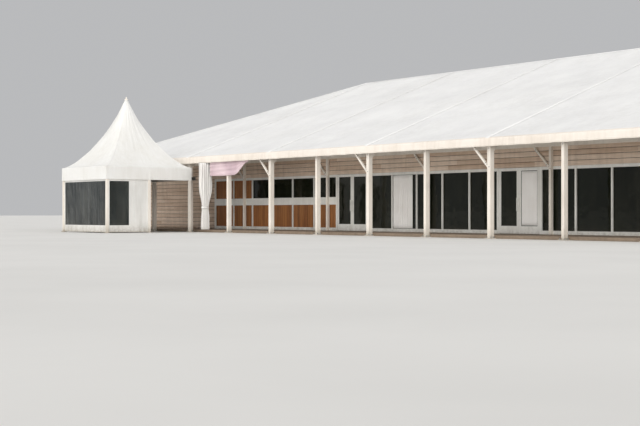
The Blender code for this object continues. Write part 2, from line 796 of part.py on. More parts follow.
# Pagoda porch
def build_pagoda_frame():
    """Corner posts, one side post, an eave beam and a top rail, as one welded frame."""
    left, right, front, back = PAGODA_LEFT, PAGODA_RIGHT, PAGODA_FRONT, PAGODA_BACK
    post, top = PAGODA_POST, PAGODA_EAVE - GAP
    first = box("pagoda_frame", (left, front, 0.0), (left + post, front + post, top), WHITE_FRAME)
    corners = ((right - post, front), (left, back - post), (right - post, back - post))
    tools = []
    for n, (x, y) in enumerate(corners):
        tools.append(box(f"pagoda_post_{n}", (x, y, 0.0), (x + post, y + post, top)))
    side_y = PAGODA_MIDDLE[1] - post / 2
    side_top = PAGODA_CLEAR + PAGODA_BEAM_HEIGHT / 2
    tools.append(
        box("pagoda_post_side", (right - post, side_y, 0.0), (right, side_y + post, side_top))
    )
    levels = (
        ("beam", PAGODA_CLEAR, PAGODA_CLEAR + PAGODA_BEAM_HEIGHT),
        ("rail", top - PAGODA_TOP_RAIL, top),
    )
    trim = PAGODA_BEAM_TRIM
    for label, low, high in levels:
        spans = (
            ((left + post / 2, front + trim), (right - post / 2, front + post - trim)),
            ((left + post / 2, back - post + trim), (right - post / 2, back - trim)),
            ((left + trim, front + post / 2), (left + post - trim, back - post / 2)),
            ((right - post + trim, front + post / 2), (right - trim, back - post / 2)),
        )
        inset = trim if label == "rail" else 0.0
        for n, (start, end) in enumerate(spans):
            tools.append(box(f"pagoda_{label}_{n}", (*start, low), (*end, high - inset)))
    feet = ((left + post / 2, front + post / 2), (right - post / 2, front + post / 2))
    feet += ((left + post / 2, back - post / 2), (right - post / 2, back - post / 2))
    feet += ((right - post / 2, side_y + post / 2),)
    for n, (x, y) in enumerate(feet):
        spread = post / 2 + BASE_PLATE_SPREAD / 2
        low = (x - spread, y - spread, 0.0)
        tools.append(box(f"pagoda_foot_{n}", low, (x + spread, y + spread, BASE_PLATE_THICKNESS)))
    fuse(first, tools)


def pagoda_ring(share):
    """Points of the skin at a share of the way from the tip (0) to the eave (1), round the axis."""
    half = PAGODA_SIDE / 2 + GAP
    rounding = (1.0 - share) ** 2
    points = []
    for n in range(PAGODA_SIDES):
        angle = 2 * math.pi * n / PAGODA_SIDES
        square = half / max(abs(math.cos(angle)), abs(math.sin(angle)))
        reach = share * (square * (1 - rounding) + half * rounding)
        reach = max(reach, PAGODA_TIP_RADIUS)
        points.append((reach * math.cos(angle), reach * math.sin(angle)))
    return points


def pagoda_levels():
    """Height of each ring, with the hem of the vertical skirt first."""
    hem = PAGODA_CLEAR - PAGODA_SKIRT_LAP
    levels = [(1.0, hem)]
    tip_share = PAGODA_TIP_RADIUS / (PAGODA_SIDE / 2)
    tip_rise = (1.0 - tip_share) ** PAGODA_CURVE
    for n in range(PAGODA_RINGS + 1):
        share = 1.0 + (tip_share - 1.0) * n / PAGODA_RINGS
        rise = (1.0 - share) ** PAGODA_CURVE / tip_rise
        levels.append((share, PAGODA_EAVE + rise * (PAGODA_PEAK - PAGODA_EAVE)))
    return levels


def build_pagoda_skin():
    """A loft from the square eave to the round tip; its sections differ, so faces are joined here."""
    bm = bmesh.new()
    rings = []
    for share, height in pagoda_levels():
        rings.append([bm.verts.new((x, y, height)) for x, y in pagoda_ring(share)])
    for lower, upper in zip(rings, rings[1:]):
        for n in range(PAGODA_SIDES):
            after = (n + 1) % PAGODA_SIDES
            bm.faces.new((lower[n], lower[after], upper[after], upper[n]))
    mesh = bpy.data.meshes.new("pagoda_skin")
    bm.to_mesh(mesh)
    bm.free()
    skin = add_object("pagoda_skin", mesh, ROOF_SKIN, (*PAGODA_MIDDLE, 0.0))
    shell = skin.modifiers.new("thickness", "SOLIDIFY")
    shell.thickness = PAGODA_SKIN
    shell.offset = 1.0
    shell.use_even_offset = True


def build_king_pole():
    """The short mast over the porch, standing on four stays from the corner posts."""
    top = PAGODA_PEAK - GAP
    centre = (*PAGODA_MIDDLE, (KING_POLE_FOOT + top) / 2)
    length = top - KING_POLE_FOOT
    pole = cylinder("pagoda_king_pole", centre, KING_POLE_RADIUS, length, BRIGHT_METAL)
    reach = PAGODA_SIDE / 2 - PAGODA_POST - GAP
    corner_height = PAGODA_CLEAR + PAGODA_BEAM_HEIGHT
    stays = []
    for x_side in (-1, 1):
        for y_side in (-1, 1):
            start = (*PAGODA_MIDDLE, KING_POLE_FOOT + 2 * STAY)
            end = (PAGODA_MIDDLE[0] + x_side * reach, PAGODA_MIDDLE[1] + y_side * reach, corner_height)
            stays.append(sloping_beam(f"stay_{x_side}_{y_side}", start, end, STAY, STAY))
    fuse(pole, stays)


def tip_rise():
    """How far the skin's outer rim stands over the inner one at the tip."""
    (low_share, low_z), (top_share, top_z) = pagoda_levels()[-2:]
    rises = []
    for low, top in zip(pagoda_ring(low_share), pagoda_ring(top_share)):
        run = math.hypot(*low) - math.hypot(*top)
        rises.append(PAGODA_SKIN * run / math.hypot(run, top_z - low_z))
    return max(rises)


def build_finial():
    """A turned cap over the tip of the porch roof."""
    rim = PAGODA_TIP_RADIUS + PAGODA_SKIN
    low = PAGODA_PEAK + tip_rise() + GAP
    profile = [(0.0, low + FINIAL_HEIGHT)]
    profile += [(rim * across, low + FINIAL_HEIGHT * up) for across, up in FINIAL_PROFILE]
    profile.append((0.0, low))
    bm = bmesh.new()
    verts = [bm.verts.new((r, 0.0, z)) for r, z in profile]
    for a, b in zip(verts, verts[1:]):
        bm.edges.new((a, b))
    mesh = bpy.data.meshes.new("pagoda_finial")
    bm.to_mesh(mesh)
    bm.free()
    finial = add_object("pagoda_finial", mesh, BRIGHT_METAL, (*PAGODA_MIDDLE, 0.0))
    turn = finial.modifiers.new("turn", "SCREW")
    turn.steps = turn.render_steps = 16
    turn.use_merge_vertices = True
    turn.merge_threshold = 0.0001


def build_pagoda_walls():
    left, right, front, back = PAGODA_LEFT, PAGODA_RIGHT, PAGODA_FRONT, PAGODA_BACK
    post = PAGODA_POST
    low, high = FABRIC_WALL_FOOT, PAGODA_CLEAR - GAP
    inset = (post - PAGODA_WALL) / 2
    seat = post + GAP
    depth = inset + PAGODA_WALL
    side_end = PAGODA_MIDDLE[1] - post / 2 - GAP
    spans = (
        ("pagoda_wall_front", (left + seat, front + inset), (right - seat, front + depth)),
        ("pagoda_wall_left", (left + inset, front + seat), (left + depth, back - seat)),
        ("pagoda_wall_side", (right - depth, front + seat), (right - inset, side_end)),
    )
    for name, start, end in spans:
        box(name, (*start, low), (*end, high), CLEAR_FILM)


def build_gutter():
    """A trough that carries rain off between the porch and the hall."""
    wall = GUTTER_WALL
    low_z = PAGODA_CLEAR
    high_z = low_z + GUTTER_DEPTH
    low_y = PAGODA_BACK + PAGODA_SKIN + 2 * GAP
    high_y = -HALF_WIDTH + POST_FACE - GAP
    low, high = (PAGODA_LEFT, low_y, low_z), (PAGODA_RIGHT, high_y, high_z)
    trough = box("link_gutter", low, high, BRIGHT_METAL)
    hollow = box(
        "link_gutter_hollow",
        (PAGODA_LEFT - TOOL_REACH, low_y + wall, low_z + wall),
        (PAGODA_RIGHT + TOOL_REACH, high_y - wall, high_z + TOOL_REACH),
    )
    cut(trough, [hollow])


def build_drape():
    """A gathered curtain tied in at the waist, hanging from the eave beam."""
    top = EAVE_CLEAR - GAP
    waist = DRAPE_TIE_HEIGHT
    profile = (
        (0.0, top),
        (DRAPE_RADIUS, top),
        (DRAPE_RADIUS, (top + waist) / 2),
        (DRAPE_TIE_RADIUS, waist),
        (DRAPE_RADIUS * DRAPE_SKIRT, waist / 2),
        (DRAPE_RADIUS * DRAPE_SKIRT, DRAPE_HEM),
        (0.0, DRAPE_HEM),
    )
    bm = bmesh.new()
    verts = [bm.verts.new((r, 0.0, z)) for r, z in profile]
    for a, b in zip(verts, verts[1:]):
        bm.edges.new((a, b))
    bmesh.ops.spin(
        bm,
        geom=bm.verts[:] + bm.edges[:],
        cent=(0.0, 0.0, 0.0),
        axis=(0.0, 0.0, 1.0),
        angle=2 * math.pi,
        steps=20,
    )
    bmesh.ops.remove_doubles(bm, verts=bm.verts, dist=0.0001)
    bmesh.ops.scale(bm, vec=(DRAPE_FLATTEN, 1.0, 1.0), verts=bm.verts)
    bmesh.ops.recalc_face_normals(bm, faces=bm.faces)
    mesh = bpy.data.meshes.new("entrance_drape")
    bm.to_mesh(mesh)
    bm.free()
    y = -HALF_WIDTH + (EAVE_BEAM_FACE + EAVE_BEAM_BACK) / 2 - DRAPE_FORWARD
    add_object("entrance_drape", mesh, DRAPE_CLOTH, (DRAPE_POSITION, y, 0.0))


def build_swag():
    """A draped cloth on the front of the posts, low beside the drape and gathered up at the right."""
    top = EAVE_CLEAR - GAP
    left = DRAPE_POSITION + DRAPE_RADIUS * DRAPE_FLATTEN + SWAG_CLEARANCE
    turn = left + (SWAG_RIGHT - left) * SWAG_LOW_SHARE
    y = -HALF_WIDTH + POST_FACE - SWAG_OFF_POST - SWAG_THICKNESS / 2
    points = [
        (left, top),
        (left, top - SWAG_DROP),
        (turn, top - SWAG_DROP),
        (SWAG_RIGHT, top - SWAG_END_DROP),
        (SWAG_RIGHT, top),
    ]
    flat_outline(
        "entrance_swag",
        points,
        SWAG_THICKNESS,
        DRAPE_CLOTH,
        (0.0, y, 0.0),
        (math.pi / 2, 0.0, 0.0),
    )


def build_marquee():
    build_deck()
    build_portals()
    build_purlins()
    build_hip_end("hip_frame_left", -1)
    build_hip_end("hip_frame_right", 1)
    hip_posts = [side * (HALF_LENGTH - step) for step in HIP_STEPS for side in (-1, 1)]
    build_eave_row("front_eave_row", -1, hip_posts + HALF_BAY_POSTS)
    build_eave_row("back_eave_row", 1, hip_posts)
    build_end_row("left_eave_row", -1)
    build_end_row("right_eave_row", 1)
    build_skins()
    build_boarding()
    build_inner_row()
    for section, start, end in wall_sections():
        build_wall_frame(section, start, end)
        build_wall_panes(section, start, end)
    build_doors()
    build_fabric_walls()
    build_pagoda_frame()
    build_pagoda_skin()
    build_king_pole()
    build_finial()
    build_pagoda_walls()
    build_gutter()
    build_drape()
    build_swag()


build_marquee()
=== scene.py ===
# %% [markdown]
# A long white marquee tent with hipped ends. Its front is an open veranda, and a steep
# pagoda porch stands before it. The frame, the posts, the doors and the plain surfaces come
# ready made from the CAD model. This lesson dresses them: tight fabric on the roof, hung
# fabric walls, boards, clear film, bolts, and a finish for each material.

# %% Load the frame
import json
import math

import bmesh
import bpy
from mathutils import Matrix, Vector


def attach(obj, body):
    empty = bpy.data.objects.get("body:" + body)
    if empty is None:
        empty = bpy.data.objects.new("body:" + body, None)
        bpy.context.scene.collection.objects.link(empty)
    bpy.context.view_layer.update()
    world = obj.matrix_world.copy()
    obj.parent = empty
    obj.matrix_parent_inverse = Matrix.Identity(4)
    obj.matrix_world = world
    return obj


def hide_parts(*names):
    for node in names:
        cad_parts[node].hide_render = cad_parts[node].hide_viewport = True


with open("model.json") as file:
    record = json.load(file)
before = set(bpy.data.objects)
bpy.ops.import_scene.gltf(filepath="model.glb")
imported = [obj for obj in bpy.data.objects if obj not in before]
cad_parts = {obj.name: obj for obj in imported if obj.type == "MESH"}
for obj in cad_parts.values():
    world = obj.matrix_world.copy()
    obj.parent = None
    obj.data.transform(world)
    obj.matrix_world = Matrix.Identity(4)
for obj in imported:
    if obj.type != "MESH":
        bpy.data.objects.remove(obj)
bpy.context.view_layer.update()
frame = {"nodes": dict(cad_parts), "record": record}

# %% [markdown]
# These sizes repeat those of the CAD model, in metres. X runs along the ridge and the
# veranda faces -Y. An "inset" is a plan distance inwards from the eave line. The roof
# climbs by the same slope for each metre of it from all four sides.

# %% Sizes of the frame
HALF_WIDTH = 10.0
HALF_RIDGE = 9.07
HALF_LENGTH = 19.07
EAVE_TOP = 3.17
ROOF_ANGLE = math.radians(20.9)
SLOPE = math.tan(ROOF_ANGLE)
PORTALS = (-9.0, -3.0, 3.0, 9.0)
HALF_BAY_POSTS = (-6.0, 0.0, 6.0)
HIP_POSTS = (-15.07, 15.07, -12.07, 12.07)
END_POSTS = (-6.0, -3.0, 0.0, 3.0, 6.0)
WALL_FACE = 7.0
DOOR_HEAD = 2.35
LIGHT_SILL, LIGHT_HEAD = 0.2203, 2.2497
PAGODA_MIDDLE = (-10.45, -12.15)
PAGODA_HALF = 2.0
MARQUEE = "marquee"


def roof_height(inset):
    return EAVE_TOP + inset * SLOPE


print("ridge at", round(roof_height(HALF_WIDTH), 3))

# %% [markdown]
# Small helpers come first. A new piece starts as a primitive at its size and place. Its
# place is then applied, so that the object sits at the origin as the CAD nodes do. The
# export needs that, and so do patterns that read object coordinates.

# %% Helpers for starting a piece
def deselect_all():
    if bpy.context.object and bpy.context.object.mode != "OBJECT":
        bpy.ops.object.mode_set(mode="OBJECT")
    bpy.ops.object.select_all(action="DESELECT")


def settle(piece, name):
    """Put the place of a new primitive into its mesh."""
    piece.name = name
    bpy.ops.object.transform_apply(location=True, rotation=True, scale=True)
    return piece


def add_block(name, low, high):
    deselect_all()
    middle = [(a + b) / 2 for a, b in zip(low, high)]
    size = [b - a for a, b in zip(low, high)]
    bpy.ops.mesh.primitive_cube_add(size=1, location=middle, scale=size)
    return settle(bpy.context.object, name)


def add_rod(name, centre, radius, height, sides=12):
    deselect_all()
    bpy.ops.mesh.primitive_cylinder_add(
        vertices=sides, radius=radius, depth=height, location=centre
    )
    return settle(bpy.context.object, name)


def add_grid(name, columns, rows):
    """A sheet from 0 to 1 in X and Y, ready to be shaped."""
    deselect_all()
    bpy.ops.mesh.primitive_grid_add(
        x_subdivisions=columns, y_subdivisions=rows, size=1, location=(0.5, 0.5, 0.0)
    )
    return settle(bpy.context.object, name)


print("a piece can start as a block, a rod or a grid")

# %% [markdown]
# A piece is then shaped as by hand. It is opened in edit mode, and faces are picked by their
# place or by the way they face, because a script has no mouse to click on them. Operators
# such as inset, extrude and bisect work on what is picked.

# %% Helpers for picking and cutting
def select(piece):
    deselect_all()
    piece.select_set(True)
    bpy.context.view_layer.objects.active = piece


def edit(piece):
    """Open a piece in edit mode with nothing selected."""
    select(piece)
    bpy.ops.object.mode_set(mode="EDIT")
    bpy.ops.mesh.select_all(action="DESELECT")


def close_edit():
    bpy.ops.object.mode_set(mode="OBJECT")


def pick_faces(piece, test):
    """Select only the faces whose centre and normal pass a test. Edit mode is open before."""
    bpy.ops.mesh.select_mode(type="FACE")
    bpy.ops.mesh.select_all(action="DESELECT")
    mesh = bmesh.from_edit_mesh(piece.data)
    for face in mesh.faces:
        if test(face.calc_center_median(), face.normal):
            face.select_set(True)
    bmesh.update_edit_mesh(piece.data)


def cut(place, normal, **settings):
    """Cut everything in the open piece along a plane."""
    bpy.ops.mesh.select_all(action="SELECT")
    bpy.ops.mesh.bisect(plane_co=place, plane_no=normal, **settings)


print("faces are picked by place and normal")

# %% [markdown]
# Modifiers finish most pieces: Bevel rounds the edges, and Solidify turns a sheet into
# cloth with two sides. Each is applied at once, so that the next step finds a plain mesh.

# %% Helpers for modifiers and shading
def apply_modifier(piece, kind, **settings):
    select(piece)
    modifier = piece.modifiers.new(kind.lower(), kind)
    for key, value in settings.items():
        setattr(modifier, key, value)
    bpy.ops.object.modifier_apply(modifier=modifier.name)


def soften(piece, width, segments=2):
    """Round every sharp edge a little, as pressed, planed and cast pieces are."""
    apply_modifier(
        piece, "BEVEL", width=width, segments=segments, limit_method="ANGLE",
        harden_normals=False,
    )


def thicken(piece, thickness):
    """Give a sheet its thickness, half to each side."""
    apply_modifier(piece, "SOLIDIFY", thickness=thickness, offset=0.0)


def smooth(piece, angle=None):
    select(piece)
    if angle is None:
        bpy.ops.object.shade_smooth()
    else:
        bpy.ops.object.shade_smooth_by_angle(angle=math.radians(angle))


def make_frame(piece, thickness):
    """Turn a thin block that faces -Y into a frame: inset both faces, then bridge them."""
    edit(piece)
    pick_faces(piece, lambda c, n: abs(n.y) > 0.9)
    bpy.ops.mesh.inset(thickness=thickness)
    bpy.ops.mesh.bridge_edge_loops()
    close_edit()


def ease(value):
    """0 below 0, 1 above 1, and a smooth climb between."""
    value = min(max(value, 0.0), 1.0)
    return value * value * (3 - 2 * value)


print("ease at a quarter, half and three quarters:", [round(ease(n / 4), 3) for n in (1, 2, 3)])

# %% [markdown]
# What repeats is made once. Each copy gets a mesh of its own, moved by a matrix, and the
# copies are joined to one piece.

# %% Helpers for copies
def copy_to(piece, name, matrix):
    twin = piece.copy()
    twin.data = piece.data.copy()
    twin.name = name
    twin.data.transform(matrix)
    bpy.context.scene.collection.objects.link(twin)
    return twin


def shift(x=0.0, y=0.0, z=0.0):
    return Matrix.Translation((x, y, z))


def turned(degrees, axis="Z"):
    return Matrix.Rotation(math.radians(degrees), 4, axis)


def join(pieces, name):
    deselect_all()
    for piece in pieces:
        piece.select_set(True)
    bpy.context.view_layer.objects.active = pieces[0]
    bpy.ops.object.join()
    pieces[0].name = name
    return pieces[0]


def repeat(piece, name, matrices):
    """One piece made of copies of another."""
    return join([copy_to(piece, piece.name, matrix) for matrix in matrices], name)


def delete(piece):
    bpy.data.objects.remove(piece)


print("copies are placed by matrices such as", tuple(shift(1.0).translation))

# %% [markdown]
# A sheet also gets a UV map in metres, as if the cloth lay flat on the cutting table, and
# its area is measured before it gets its thickness.

# %% Helpers for a finished piece
def keep(piece, finish, body=MARQUEE):
    """Give a finished piece its material, and let it move with a body of the frame."""
    piece.data.materials.clear()
    piece.data.materials.append(finish)
    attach(piece, body)
    return piece


def set_uv(sheet, places):
    """Set each corner's UV to its point's place on the flat cloth, in metres."""
    for loop, layer in zip(sheet.data.loops, sheet.data.uv_layers[0].data):
        layer.uv = places[loop.vertex_index]


def area_of(sheet):
    return sum(face.area for face in sheet.data.polygons)


print("helpers ready")

# %% [markdown]
# Materials are built from node trees. A socket knows the tree that it is in, so the short
# helpers here need only sockets and numbers, and read like a sum.

# %% Helpers for sums in a node tree
def add_node(tree, kind, settings=None, **inputs):
    node = tree.nodes.new(kind)
    for key, value in (settings or {}).items():
        setattr(node, key, value)
    for key, value in inputs.items():
        socket = node.inputs[int(key[1:])] if key[0] == "n" else node.inputs[key.replace("_", " ")]
        if isinstance(value, bpy.types.NodeSocket):
            tree.links.new(value, socket)
        else:
            socket.default_value = value
    return node


def link(source, target):
    source.id_data.links.new(source, target)


def maths(operation, first, second=0.0, clamp=False):
    home = first if isinstance(first, bpy.types.NodeSocket) else second
    settings = {"operation": operation, "use_clamp": clamp}
    return add_node(home.id_data, "ShaderNodeMath", settings, n0=first, n1=second).outputs[0]


def times(first, second):
    return maths("MULTIPLY", first, second)


def plus(first, second, clamp=False):
    return maths("ADD", first, second, clamp)


def minus(first, second):
    return maths("SUBTRACT", first, second)


def ramp(value, low, high, to_low=0.0, to_high=1.0):
    """Map a value from one range to another, and clamp it."""
    return add_node(
        value.id_data, "ShaderNodeMapRange", {"clamp": True},
        n0=value, n1=low, n2=high, n3=to_low, n4=to_high,
    ).outputs[0]


print("sums in a node tree: times, plus, minus and ramp")

# %% [markdown]
# The effects that several finishes share are node groups with named inputs and outputs:
# weathering, weave, stitches, wood grain and handled metal. They are drawn from noise,
# which is stretched where the real mark has a direction.

# %% Helpers for patterns and node groups
def noise(vector, scale, detail=3.0, roughness=0.5):
    return add_node(
        vector.id_data, "ShaderNodeTexNoise", None,
        Vector=vector, Scale=scale, Detail=detail, Roughness=roughness,
    ).outputs["Fac"]


def stretch(vector, x, y, z):
    """Scale a vector along each axis, which stretches the pattern that reads it."""
    return add_node(
        vector.id_data, "ShaderNodeMapping", {"vector_type": "POINT"},
        Vector=vector, Scale=(x, y, z),
    ).outputs[0]


def blend(share, first, second):
    return add_node(
        share.id_data, "ShaderNodeMix", {"data_type": "RGBA"}, n0=share, n6=first, n7=second
    ).outputs[2]


def coordinates(tree):
    return add_node(tree, "ShaderNodeTexCoord").outputs


def axes_of(vector):
    return add_node(vector.id_data, "ShaderNodeSeparateXYZ", None, Vector=vector).outputs


def start_group(name, inputs, outputs):
    """A node group with named sockets, and its input and output nodes."""
    group = bpy.data.node_groups.new(name, "ShaderNodeTree")
    for label, kind, value in inputs:
        socket = group.interface.new_socket(name=label, in_out="INPUT", socket_type=kind)
        if value is not None:
            socket.default_value = value
    for label, kind in outputs:
        group.interface.new_socket(name=label, in_out="OUTPUT", socket_type=kind)
    entry = group.nodes.new("NodeGroupInput")
    exit_node = group.nodes.new("NodeGroupOutput")
    return group, entry.outputs, exit_node.inputs


NUMBER, COLOUR, VECTOR = "NodeSocketFloat", "NodeSocketColor", "NodeSocketVector"
print("socket kinds:", NUMBER, COLOUR, VECTOR)

# %% [markdown]
# Weathering: rain carries dust down a tent and leaves faint vertical streaks, and splashes
# darken everything near the ground. One group mixes a dirt colour into a clean one, by
# noise that is stretched along Z and by height above the ground.

# %% Node group: weathering
weathering, given, result = start_group(
    "weathering",
    [("Clean", COLOUR, None), ("Dirt", COLOUR, None), ("Streaks", NUMBER, 0.1),
     ("Splash", NUMBER, 0.3), ("Splash height", NUMBER, 0.5), ("Roughness", NUMBER, 0.5)],
    [("Color", COLOUR), ("Roughness", NUMBER)],
)
place = coordinates(weathering)["Object"]
streak = noise(stretch(place, 3.0, 3.0, 0.35), 2.0, 5.0, 0.6)
cloud = noise(place, 0.45, 4.0, 0.55)
streak = ramp(times(streak, cloud), 0.18, 0.42)
spots = ramp(noise(place, 9.0, 4.0, 0.6), 0.42, 0.66)
near = ramp(maths("DIVIDE", axes_of(place)["Z"], given["Splash height"]), 0.0, 1.0, 1.0, 0.0)
near = times(near, near)
spread = ramp(plus(near, times(spots, near)), 0.0, 1.5)
share = plus(times(streak, given["Streaks"]), times(spread, given["Splash"]), True)
link(blend(share, given["Clean"], given["Dirt"]), result["Color"])
link(plus(given["Roughness"], times(share, 0.35), True), result["Roughness"])
print("weathering group", len(weathering.nodes), "nodes")

# %% [markdown]
# Coated tent cloth is a plastic film over a plain weave. Close up a fine grid shows through
# the gloss. Further off only broad, shallow tension ripples catch the light. Both are
# heights for a Bump node. The grid reads the sheet's own UV map, which is in metres.

# %% Node group: tent cloth
tent_cloth, given, result = start_group(
    "tent_cloth",
    [("Thread", NUMBER, 0.004), ("Ripple", NUMBER, 1.0), ("Ripple scale", NUMBER, 1.2)],
    [("Height", NUMBER), ("Shade", NUMBER)],
)
place = coordinates(tent_cloth)
across = axes_of(place["UV"])
threads = [
    maths("SINE", times(maths("DIVIDE", across[axis], given["Thread"]), 2 * math.pi))
    for axis in ("X", "Y")
]
ripple = noise(stretch(place["UV"], 2.2, 0.5, 1.0), given["Ripple scale"], 2.0)
ripple = times(times(minus(ripple, 0.5), given["Ripple"]), 0.02)
link(plus(times(plus(*threads), 0.00012), ripple), result["Height"])
link(noise(place["Object"], 0.9), result["Shade"])
print("tent cloth group", len(tent_cloth.nodes), "nodes")

# %% [markdown]
# Seams and hems are welded or sewn doubles of the cloth. The group reads the UV map, draws
# a doubled band along the sheet's foot, where V is 0, and a row of stitches inside it.

# %% Node group: hem with stitches
hem, given, result = start_group(
    "hem", [("Width", NUMBER, 0.04)], [("Band", NUMBER), ("Stitch", NUMBER), ("Height", NUMBER)]
)
across = axes_of(coordinates(hem)["UV"])
distance = maths("DIVIDE", maths("ABSOLUTE", across["Y"]), given["Width"])
band = ramp(distance, 0.95, 1.05, 1.0, 0.0)
line = ramp(maths("ABSOLUTE", minus(distance, 0.85)), 0.02, 0.07, 1.0, 0.0)
dash = maths("SINE", times(across["X"], 2 * math.pi / 0.012))
stitch = times(line, ramp(dash, -0.2, 0.2))
link(band, result["Band"])
link(stitch, result["Stitch"])
link(minus(times(band, 0.0012), times(stitch, 0.001)), result["Height"])
print("hem group", len(hem.nodes), "nodes")

# %% [markdown]
# Wood: growth rings cut lengthwise show as long streaks. The noise is stretched along the
# board. Each board also has a shade of its own, read from an attribute on its mesh, because
# no two boards of a real wall match.

# %% Node group: wood grain
wood_grain, given, result = start_group(
    "wood_grain",
    [("Vector", VECTOR, None), ("Light", COLOUR, None), ("Dark", COLOUR, None),
     ("Board", NUMBER, 0.5), ("Contrast", NUMBER, 0.5)],
    [("Color", COLOUR), ("Height", NUMBER)],
)
board, contrast = given["Board"], given["Contrast"]
away = add_node(
    wood_grain, "ShaderNodeCombineXYZ", None, X=board, Y=board, Z=times(board, 17.0)
).outputs[0]
moved = add_node(
    wood_grain, "ShaderNodeVectorMath", {"operation": "ADD"}, n0=given["Vector"], n1=away
).outputs[0]
fibre = noise(moved, 6.0, 6.0, 0.65)
broad = noise(moved, 1.6, 2.0)
tone = ramp(plus(times(fibre, 0.6), times(broad, 0.4)), 0.34, 0.62)
total = plus(times(tone, contrast), times(board, minus(1.0, contrast)), True)
link(blend(total, given["Light"], given["Dark"]), result["Color"])
link(times(fibre, 0.0012), result["Height"])
print("wood grain group", len(wood_grain.nodes), "nodes")

# %% [markdown]
# Metal: extruded aluminium keeps fine lines from the die along its length, and a powder
# coat has a soft orange peel. Handling leaves small scuffs. The group gives a mask of
# scuffs and a height for both kinds of metal.

# %% Node group: handled metal
handled_metal, given, result = start_group(
    "handled_metal",
    [("Scuffs", NUMBER, 0.2), ("Peel", NUMBER, 1.0)],
    [("Scuff", NUMBER), ("Shade", NUMBER), ("Height", NUMBER)],
)
place = coordinates(handled_metal)["Object"]
scratch = noise(stretch(place, 18.0, 18.0, 4.0), 3.0, 5.0, 0.7)
scuff = ramp(times(scratch, noise(place, 2.3)), 0.30, 0.38)
link(times(scuff, given["Scuffs"]), result["Scuff"])
link(noise(place, 1.1), result["Shade"])
link(times(times(noise(place, 260.0, 2.0), given["Peel"]), 0.0003), result["Height"])
print("node groups:", len(bpy.data.node_groups))

# %% [markdown]
# Each finish is a material with a Principled shader. What is the same all over the surface,
# such as the metallic value or the sheen, is set on the shader's own socket. Colour,
# roughness and relief come from the groups, and nearly every finish ends with weathering.

# %% Helpers for a finish
def rgb(text):
    """A colour from its web notation, as the shader wants it."""
    parts = [int(text[n:n + 2], 16) / 255 for n in (0, 2, 4)]
    linear = [p / 12.92 if p <= 0.04045 else ((p + 0.055) / 1.055) ** 2.4 for p in parts]
    return (*linear, 1.0)


def start_finish(name, roughness=0.5, metallic=0.0, **sockets):
    """A material, its node tree and its Principled shader, ready for links."""
    finish = bpy.data.materials.new(name)
    finish.use_nodes = True
    shader = finish.node_tree.nodes["Principled BSDF"]
    shader.inputs["Roughness"].default_value = roughness
    shader.inputs["Metallic"].default_value = metallic
    for key, value in sockets.items():
        shader.inputs[key.replace("_", " ")].default_value = value
    return finish, finish.node_tree, shader


def add_group(tree, group, **inputs):
    return add_node(tree, "ShaderNodeGroup", {"node_tree": group}, **inputs).outputs


def add_relief(shader, height):
    bump = add_node(shader.id_data, "ShaderNodeBump", None, Height=height, Distance=1.0, Strength=1.0)
    link(bump.outputs[0], shader.inputs["Normal"])


def weather(shader, colour, height, dirt, streaks, splash, reach, roughness):
    """Soil a colour up to the splashes' reach, and link all that the shader needs."""
    soiled = add_group(
        shader.id_data, weathering, Clean=colour, Dirt=rgb(dirt), Streaks=streaks,
        Splash=splash, Splash_height=reach, Roughness=roughness,
    )
    link(soiled["Color"], shader.inputs["Base Color"])
    link(soiled["Roughness"], shader.inputs["Roughness"])
    add_relief(shader, height)


def mottle(value, light, dark, low=0.3, high=0.7):
    """Two shades of a colour, mixed by a soft noise."""
    return blend(ramp(value, low, high), rgb(light), rgb(dark))


print("half grey is, to the shader,", round(rgb("808080")[0], 3))

# %% [markdown]
# The cloths: the roof is a cool white with a soft gloss, and the band along its eave is a
# warmer, creamier white. The walls hang slack and pick up more dust low down.

# %% Finishes: tent cloths
def cloth_finish(name, clean, cool, dirt, ripple, streaks, splash=0.0, hemmed=False):
    finish, tree, shader = start_finish(name, 0.42)
    cloth = add_group(tree, tent_cloth, Ripple=ripple)
    colour, height = mottle(cloth["Shade"], clean, cool), cloth["Height"]
    if hemmed:
        band = add_group(tree, hem)
        colour = blend(times(band["Band"], 0.35), colour, rgb("D9D3C6"))
        colour = blend(times(band["Stitch"], 0.6), colour, rgb("8E8778"))
        height = plus(height, band["Height"])
    weather(shader, colour, height, dirt, streaks, splash, 0.55, 0.42)
    return finish


roof_cloth = cloth_finish("roof_cloth", "F6F6F5", "F0F0F0", "A9A597", 1.0, 0.14)
eave_cloth = cloth_finish("eave_cloth", "F8F0E6", "F4EADF", "A69A86", 0.6, 0.22, hemmed=True)
porch_cloth = cloth_finish("porch_cloth", "F1F1EF", "ECEBE7", "B4AE9A", 0.7, 0.14)
wall_cloth = cloth_finish("wall_cloth", "F0EFEC", "E6E6E3", "8C8370", 0.8, 0.22, 0.55, True)
print("cloth finishes ready")

# %% [markdown]
# The soft drape by the porch and the swag under the eave are uncoated: rougher, with a
# sheen that shows at the edges of their folds.

# %% Finishes: soft drapes
def drape_finish(name, light, dark):
    finish, tree, shader = start_finish(name, 0.85, Sheen_Weight=0.35, Sheen_Roughness=0.5)
    cloth = add_group(tree, tent_cloth, Thread=0.006, Ripple=0.4, Ripple_scale=3.0)
    colour = mottle(cloth["Shade"], light, dark)
    weather(shader, colour, times(cloth["Height"], 2.0), "8F8672", 0.08, 0.5, 0.35, 0.85)
    return finish


drape_cloth = drape_finish("drape_white", "FDFCFA", "F4F2EF")
swag_cloth = drape_finish("swag_mauve", "F0DADF", "C4A9B3")
print("soft finishes:", drape_cloth.name, swag_cloth.name)
